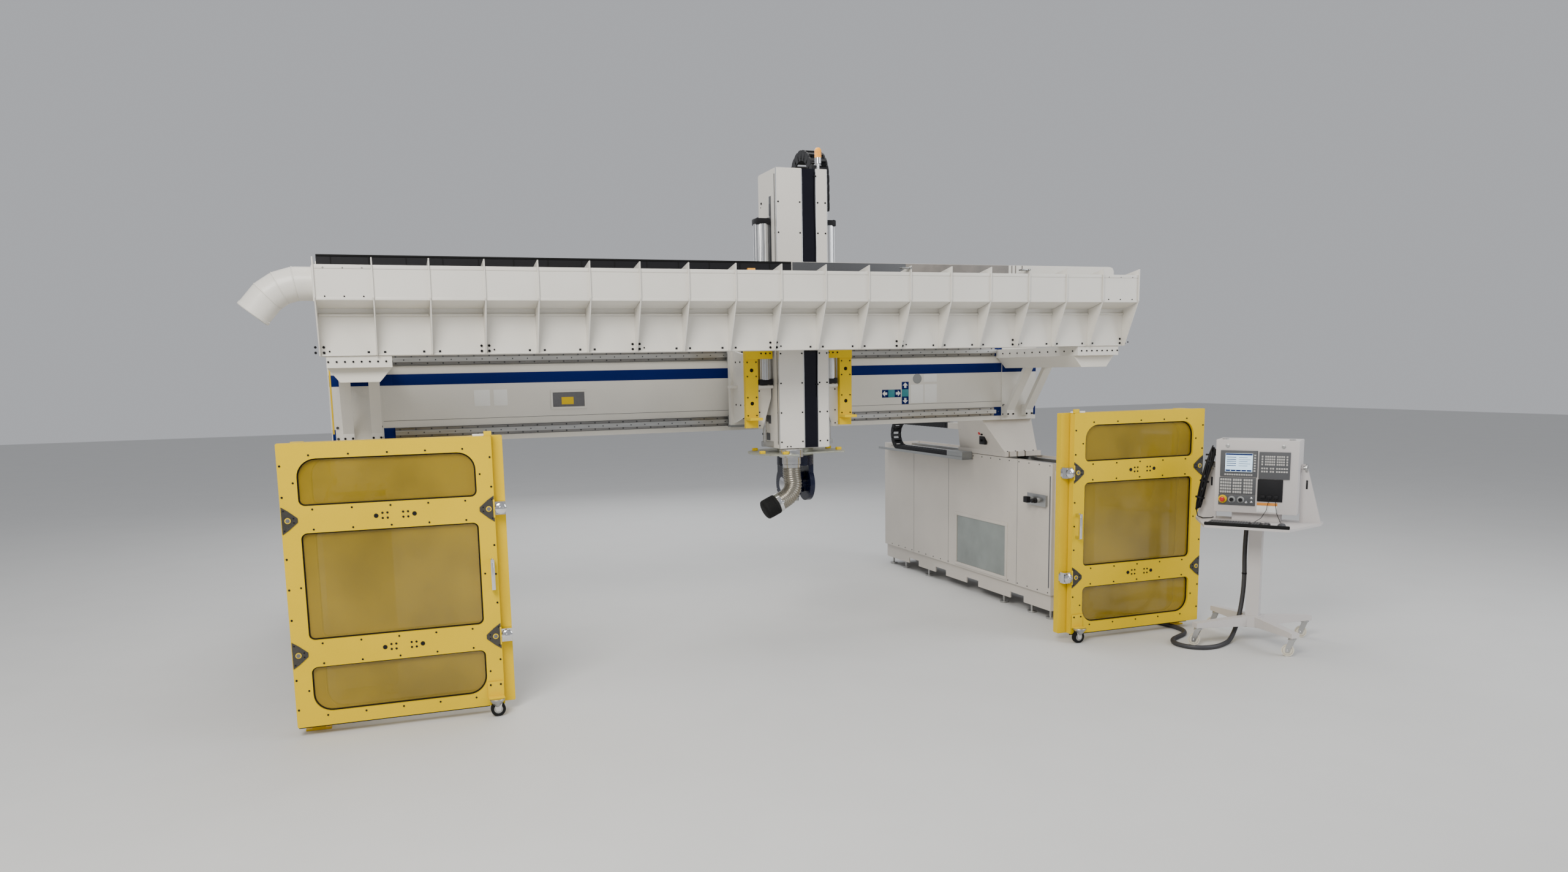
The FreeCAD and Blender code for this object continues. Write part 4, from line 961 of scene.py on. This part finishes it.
def leaf_front(name, x, y, body):
    """Gussets, rings, screws and rail holes, whose bores are dark discs of painted shade, on the leaf's
    outward face, and the bottom sweep.
    """
    gussets = Build(f"{name}_gussets", GUNMETAL, body, "steel")
    rings = Build(f"{name}_rings", YELLOW, body, "yellow_paint")
    screws = Build(f"{name}_screws", BLACK, body, "black_plastic")
    # Painted shade: the holes are dark discs standing for their shadowed bores.
    holes = Build(f"{name}_holes", SHADE, body, "dark_gloss")
    for low, high in RAIL_ROWS:
        mid = LEAF_LOW + (low + high) / 2
        for edge, way in ((x + 4, 1), (x + LEAF_W - 4, -1)):
            outline = [(edge, mid - 90), (edge + way * 40, mid - 62), (edge + way * 96, mid - 14),
                       (edge + way * 96, mid + 14), (edge + way * 40, mid + 62), (edge, mid + 90)]
            gussets.prism(outline, (y - 5, y + 0.4), facing, 1)
            rings.turned(((0, 17), (1, 19), (4, 19), (5, 15)), (edge + way * 36, y - 5, mid), FRONT, 24)
            holes.rod((edge + way * 36, y - 9.6, mid), 13, 1.5, FRONT, 0.3, 20)
            for across, dz in ((14, 64), (14, -64), (72, 14), (72, -14)):
                screws.bolt((edge + way * across, y - 5, mid + dz), 5, 3)
        for start, way in ((0.43, 1), (0.61, -1)):
            centre = x + LEAF_W * start
            screws.bolt((centre, y, mid), 15, 3)
            for across in (40, 71):
                for dz in (-17, 17):
                    screws.bolt((centre + way * across, y, mid + dz), 7.5, 3)
    for z in range(120, LEAF_H, 200):
        for dx in (16, LEAF_W - 16):
            screws.bolt((x + dx, y, LEAF_LOW + z), 7, 4)
    for low, high, _, _ in WINDOW_ROWS:
        for k in range(5):
            for z in (low - 22, high + 22):
                screws.bolt((x + 190 + k * 238, y, LEAF_LOW + z), 6.5, 4)
        for dx in (STILE - 24, LEAF_W - STILE + 24):
            screws.bolt((x + dx, y, LEAF_LOW + (low + high) / 2), 6.5, 4)
    gussets.done()
    rings.done()
    screws.done()
    holes.done()
    Build(f"{name}_sweep", RUBBER, body, "rubber").box(
        (x + 6, x + LEAF_W - 100), (y + 20, y + 26), (LEAF_LOW - 12, LEAF_LOW + 1), 1).done()


for side_name, x, y, _ in DOORS:
    leaf(f"{side_name}_front", x, y, f"{side_name}_door", f"{side_name}_front_leaf")
    leaf_front(f"{side_name}_front", x, y, f"{side_name}_door")
for side_name, x, y, side in DOORS:
    leaf(f"{side_name}_rear", x + side * REAR_IN, y + REAR_BACK, "bases", f"{side_name}_rear_leaf")


def door_hardware(name, edge, y, side):
    """Brackets, top plate, hinges, grip, caster cone and wheel hub at the leading edge."""
    bits = Build(f"{name}_brackets", YELLOW, name, "yellow_paint")
    for z in HINGE_Z:
        bits.box((edge + side, edge - side * 10), (y - 7, y + 2), (z - 62, z + 62), 1.5)
    span = (edge - side * 4, edge - side * 112)
    bits.box(span, (y - 64, y - 1), (128.3, 133), 1.2)
    bits.box(span, (y - 65, y - 62.2), (112, 133), 1)
    bits.box(span, (y - 13, y - 10.2), (118, 236), 1)
    bits.box((edge + side * 4, edge - side * 46), (y + 2, y + 22), (1930, 1962), 2)
    bits.done()
    Build(f"{name}_top_plate", PAPER, name, "white_paint").box(
        (edge + side * 2, edge - side * 118), (y + 23, y + 58), (1930.3, 1944), 2).done()
    back = Build(f"{name}_rear_hinges", CHROME, "bases", "chrome")
    for z in HINGE_Z:
        back.box((edge + side * 48, edge + side * 79), (y + 61, y + 69.6), (z - 32, z + 32), 2)
    back.done()
    hinges = Build(f"{name}_hinge_bodies", CHROME, name, "chrome")
    for z in HINGE_Z:
        hinges.turned(((0, 34), (5, 40), (19, 40), (26, 30)), (edge + side * 38, y - 1, z), FRONT, 8)
        hinges.turned(((0, 14), (2, 16), (6, 16), (8, 12)), (edge + side * 38, y - 27, z), FRONT, 20)
        for dz in (-36, 36):
            for dx in (18, 58):
                hinges.bolt((edge + side * dx, y + 4, z + dz), 6, 5)
    grip = edge - side * 40
    bow = ((4, 896), (40, 892), (55, 908), (56, 990), (55, 1078), (40, 1094), (4, 1090))
    hinges.sweep([(grip, y - out, z) for out, z in bow], 9, 16)
    hinges.done()
    Build(f"{name}_caster_cone", STEEL, name, "steel").turned(
        ((0, 54), (5, 56), (8, 54), (56, 18), (60, 14)), (edge - side * 58, y - 48, 128), DOWN, 28).done()
    for dx in (24, 92):
        Build(f"{name}_corner_bolt_{dx}", BLACK, name, "black_plastic").bolt(
            (edge - side * dx, y - 13, 216), 7, 5).done()
    Build(f"{name}_wheel_hub", STEEL, f"{name}_wheel", "steel").turned(
        ((0, 14), (2, 20), (4, 30), (6, 31), (7.5, 27)), (edge - side * 52, y - 46.5, 50), FRONT, 24).done()


for side_name, x, y, side in DOORS:
    door_hardware(f"{side_name}_door", x + LEAF_W if side > 0 else x, y, side)

# ------------------------------------------------------------------ console
FACE = -146
KEY_DEPTH, INK_DEPTH = (FACE - 17, FACE - 13.5), (FACE - 15.9, FACE - 15.1)
PLATE_DEPTH = (FACE - 8, FACE)
ESTOP_X, ESTOP_Z = -243, 1208
KNOB_Z = 1207
KNOBS = (("feed_knob", -174), ("spindle_knob", -106))


def console_shell():
    shell = on_console("console_shell", CONSOLE_PAINT, "console_paint")
    shell.box((-310.5, 310.5), (FACE, 104), (1100, 1695), 5)
    shell.box((-300, 300), (103, 110), (1116, 1680), 3)
    for x in range(-240, 241, 40):
        shell.box((x - 4, x + 4), (109, 112), (1160, 1260), 1)
    shell.done(replaces=["console_box"])
    trim = on_console("console_trim", STEEL, "steel")
    for x, z in ((-221, 1645), (196, 1645)):
        trim.turned(((0, 13), (1, 15), (4, 15), (5, 11)), (x, FACE, z), FRONT, 24)
    for x in (-250, 250):
        trim.turned(((0, 22), (1, 24), (5, 24), (6, 20)), (x, -86, 1695), UP, 24)
    wing = ((0, 12), (2, 15), (14, 15), (18, 34), (30, 34), (33, 30))
    for side in (-1, 1):
        trim.turned(wing, (side * 327, -9, 1470), (side, 0, 0), 24)
    trim.done()
    slots = on_console("console_slots", BLACK, "black_plastic")
    for side in (-1, 1):
        slots.box((side * 352, side * 366), (-15.5, -13.5), (1300, 1372), 0.5)
    slots.box((-60, 60), (-50, 50), (1009.5, 1010), 0)
    slots.done()


console_shell()


def panels():
    """Display unit, key unit, operator keys and the switch strip."""
    housing = on_console("panel_housings", BEZEL, "dark_gloss")
    housing.box((-271, 9), (FACE - 14, FACE), (1396, 1609), 3)
    housing.box((21, 250), (FACE - 14, FACE), (1384, 1602), 3)
    housing.box((-275, 3), PLATE_DEPTH, (1250, 1388), 2)
    housing.done(replaces=["control_panels"])
    on_console("switch_strip", BEZEL, "dark_gloss").box((-277, 3), PLATE_DEPTH, (1160, 1246), 2).done()
    on_console("screen_glass", SCREEN, "window").box(
        (-232, -26), (FACE - 15.2, FACE - 13), (1436, 1586), 1).done()
    lines = on_console("screen_layout", BLUE, "navy_paint")
    lines.box((-230, -28), INK_DEPTH, (1572, 1584), 0)
    for k in range(5):
        z = 1556 - 17 * k
        lines.box((-222, -150), INK_DEPTH, (z - 5, z), 0)
        lines.box((-130, -130 + 22 * (3 + k % 2)), INK_DEPTH, (z - 4, z - 1), 0)
    for k in range(5):
        lines.box((-228 + 40 * k, -192 + 40 * k), INK_DEPTH, (1440, 1452), 0)
    lines.done()
    keys = on_console("panel_keys", KEYS, "grey_paint")
    for k in range(12):
        keys.box((-236 + 18 * k, -222 + 18 * k), KEY_DEPTH, (1406, 1418), 1.2)
    for k in range(7):
        keys.box((-16, -2), KEY_DEPTH, (1440 + 21 * k, 1452 + 21 * k), 1.2)
    for z in (1558, 1537, 1516, 1495):
        for x in (40, 66, 81.5, 97, 112.5, 128, 152, 167.5, 183, 198.5, 222):
            keys.box((x, x + 12), KEY_DEPTH, (z, z + 14), 1.2)
    for z in (1463, 1438):
        for x in (40, 58, 76, 104, 122, 150, 168, 186, 204, 222):
            keys.box((x, x + 13), KEY_DEPTH, (z, z + 13), 1.2)
    for block_x, columns in ((-266, 5), (-170, 4), (-88, 4)):
        for row in range(5):
            for column in range(columns):
                x, z = block_x + 17.5 * column, 1260 + 25 * row
                keys.box((x, x + 14), (FACE - 11, FACE - 7.5), (z, z + 17), 1.4)
    keys.done()
    on_console("estop_ring", YELLOW, "yellow_paint").turned(
        ((0, 33), (2, 34), (10, 32), (14, 27)), (ESTOP_X, FACE - 8, ESTOP_Z), FRONT, 36).done()
    dials = on_console("knob_dials", GREY, "steel")
    for _, x in KNOBS:
        dials.turned(((0, 28), (0.6, 28), (0.9, 27.6)), (x, FACE - 8, KNOB_Z), FRONT, 40)
    dials.done()
    ticks = on_console("dial_ticks", PAPER, "white_paint")
    for _, x in KNOBS:
        for k in range(16):
            a = math.radians(-60 + 20 * k)
            px, pz = x + 24 * math.cos(a), KNOB_Z + 24 * math.sin(a)
            turn = Matrix.Rotation(-a, 3, "Y")
            ticks.box((px - 2.4, px + 2.4), (FACE - 9.6, FACE - 8.8), (pz - 0.5, pz + 0.5), 0, turn)
    ticks.done()
    toggles = on_console("panel_switches", CHROME, "chrome")
    for x, z in ((-63, 1186), (-24, 1190), (-24, 1222)):
        toggles.turned(((0, 10), (3, 10), (4, 6), (16, 5), (18, 3)), (x, FACE - 8, z), FRONT, 18)
    toggles.done()
    ports = on_console("port_box", BLACK, "black_plastic")
    ports.box((16, 204), PLATE_DEPTH, (1200, 1380), 3)
    for x in (44, 92, 140):
        ports.box((x, x + 34), (FACE - 20, FACE - 7), (1226, 1252), 3)
    ports.done()
    on_console("orange_band", ORANGE, "beacon").box(
        (16, 169), (FACE - 1.2, FACE + 0.5), (1167, 1190), 0.3).done()
    on_console("blank_label", PAPER, "white_paint").box(
        (16, 169), (FACE - 1.2, FACE + 0.5), (1114, 1166), 0.3).done()
    cap = ((0, 11), (8, 11), (9, 19), (16, 20.5), (22, 17), (24.5, 9))
    Build("estop_mushroom", RED, "estop", "red_plastic", CONSOLE).turned(
        cap, (ESTOP_X, FACE - 22, ESTOP_Z), FRONT, 32).done(replaces=["estop_button"])
    for name, x in KNOBS:
        knob = Build(f"{name}_grip", BLACK, name, "black_plastic", CONSOLE)
        outline = []
        for k in range(48):
            a = 2 * math.pi * k / 48
            radius = 15 if k % 4 < 2 else 13.8
            outline.append((x + radius * math.cos(a), KNOB_Z + radius * math.sin(a)))
        knob.prism(outline, (FACE - 29.6, FACE - 9.5), facing, 0)
        knob.box((x - 1.2, x + 1.2), (FACE - 30, FACE - 28), (1209, 1220), 0.4)
        knob.done(replaces=[name])


panels()


def cable_hank():
    """The coiled pendant lead strapped to the console's left side."""
    coil = on_console("cable_hank", BLACK, "black_plastic")
    middle, down = Vector((-398, -84, 1368)), Vector((-0.2, -0.06, -0.98)).normalized()
    across, out = Vector((0.22, -0.97, 0.1)).normalized(), Vector((-0.97, -0.1, 0.2)).normalized()
    for turn in range(14):
        long, wide = 212 + 9 * (turn % 4) + 3 * turn, 20 + 5 * (turn % 5)
        centre = middle + out * (6.5 * (turn % 6) - 16) + across * (5 * (turn % 3) - 5)
        ring = []
        for step in range(49):
            a = 2 * math.pi * step / 48
            ring.append(centre + down * long * math.cos(a) + across * wide * math.sin(a)
                        + out * 9 * math.sin(2 * a + turn))
        coil.sweep(ring, 5.5, 8)
    drop = ((-438, -100, 1150), (-452, -112, 1096), (-440, -120, 1050), (-400, -110, 1034),
            (-345, -60, 1032), (-332, 20, 1034))
    coil.sweep(drop, 4.5, 8)
    coil.box((-412, -311), (-40, -24), (1552, 1566), 3)
    for along in (-150, 20, 160):
        spot = middle + down * along
        coil.turned(((0, 36), (3, 38), (12, 38), (15, 36)), spot, down, 20)
    coil.done()


cable_hank()


def leads():
    """Short leads from the port box to the keyboard and mouse."""
    lead = on_console("desk_leads", BLACK, "black_plastic")
    to_keyboard = ((109, -166, 1228), (104, -185, 1190), (92, -178, 1130), (60, -200, 1070),
                   (20, -270, 1042), (-20, -312, 1038))
    to_mouse = ((157, -166, 1228), (160, -186, 1180), (172, -182, 1110), (204, -220, 1052),
                (236, -290, 1036), (238, -318, 1040))
    for route in (to_keyboard, to_mouse):
        lead.sweep(route, 2.4, 8)
    lead.done()


leads()


def desk():
    on_console("keyboard_body", BLACK, "black_plastic").box(
        (-300, 150), (-455, -305), (1030.3, 1046), 4).done(replaces=["keyboard"])
    keys = on_console("keyboard_keys", CHARCOAL, "dark_gloss")
    for row in range(6):
        for column in range(22):
            if column in (15, 19) or (row == 0 and 3 < column < 9):
                continue
            x, y = -292 + 19.9 * column, -446 + 23.5 * row
            keys.box((x, x + 16.5), (y, y + 17), (1045, 1053), 2)
    keys.box((-212, -106), (-446, -429), (1045, 1053), 2)
    keys.done()
    rest = on_console("wrist_rest", RUBBER, "rubber")
    profile = [(-495, 1031), (-497, 1045), (-490, 1056), (-477, 1057), (-469, 1049), (-468, 1031)]
    rest.prism(profile, (-312, 312), edgewise, 3)
    rest.done()
    mouse = on_console("mouse_body", CHARCOAL, "black_plastic")
    points = [(238, -422 + 11 * k, 1046) for k in range(11)]
    radii = [math.sqrt(max(0.05, 1 - ((k - 5) / 5.4) ** 2)) * 30 for k in range(11)]
    mouse.sweep(points, radii, 20)
    for vertex in mouse.mesh.verts:
        vertex.co.z = max(1030.5, 1030.5 + (vertex.co.z - 1030.5) * 0.7)
    mouse.done()


desk()


CASTER_CIRCLE, CASTER_TRAIL, CASTER_Z = 500, 30, 47
# Part, finish, what it rides on, slot, profile, where it starts behind the wheel centre, sides.
CASTER_PARTS = (
    ("tread", TREAD, "wheel", "caster_tread",
     ((0, 38), (2, 45), (6, 47), (24, 47), (28, 45), (30, 38)), 15, 36),
    ("hub", CREAM, "wheel", "console_paint",
     ((0, 24), (1, 34), (2.5, 36), (33.5, 36), (35, 34), (36, 24)), 18, 30),
    ("axle", CHROME, "caster", "chrome",
     ((0, 6), (1, 8), (6, 8), (6.5, 5), (51, 5), (51.5, 8), (56, 8), (57, 6)), 28, 12))


def stand_details():
    """Treads, hubs and axles of the stand's four casters."""
    for n, angle in enumerate((225, 315, 45, 135), start=1):
        x, y = CASTER_CIRCLE * math.cos(math.radians(angle)), CASTER_CIRCLE * math.sin(math.radians(angle))
        for part, finish, carrier, slot, profile, start, sides in CASTER_PARTS:
            piece = Build(f"caster_{part}_{n}", finish, f"console_{carrier}_{n}", slot, CONSOLE)
            piece.turned(profile, (x - CASTER_TRAIL, y - start, CASTER_Z), BACK, sides).done()


stand_details()

# ------------------------------------------------------------------ floor, light and world
def stage():
    half = 40.0
    data = bpy.data.meshes.new("floor")
    corners = [(-half, -half), (half, -half), (half, half), (-half, half)]
    data.from_pydata([(x, y, -0.0005) for x, y in corners], [], [(0, 1, 2, 3)])
    floor = bpy.data.objects.new("floor", data)
    bpy.context.collection.objects.link(floor)
    data.materials.append(material("floor_grey", (0.62, 0.62, 0.61), 0.75, vary=0.01, grain=3, bump=0.0))
    world = bpy.data.worlds.new("studio")
    bpy.context.scene.world = world
    world.use_nodes = True
    sky = world.node_tree.nodes["Background"]
    sky.inputs["Color"].default_value = (0.93, 0.95, 1.0, 1)
    sky.inputs["Strength"].default_value = 0.5
    lamps = (("key", (-5.5, -7.5, 7.5), (0.3, 0, 1.2), 900, 4.0, (1.0, 0.97, 0.92)),
             ("fill", (7.5, -6.5, 5.0), (1.0, 0, 1.2), 300, 5.0, (0.95, 0.97, 1.0)),
             ("top", (0.0, 1.0, 9.0), (0, 0.2, 0), 420, 7.0, (1.0, 0.99, 0.96)),
             ("back", (1.0, 9.0, 6.0), (0, 0, 1.5), 240, 5.0, (0.96, 0.98, 1.0)))
    for name, place, aim, power, size, color in lamps:
        data = bpy.data.lights.new(name, "AREA")
        data.energy, data.size, data.color = power, size, color
        lamp = bpy.data.objects.new(name, data)
        bpy.context.collection.objects.link(lamp)
        lamp.location = place
        lamp.rotation_euler = (Vector(aim) - Vector(place)).to_track_quat("-Z", "Y").to_euler()


stage()
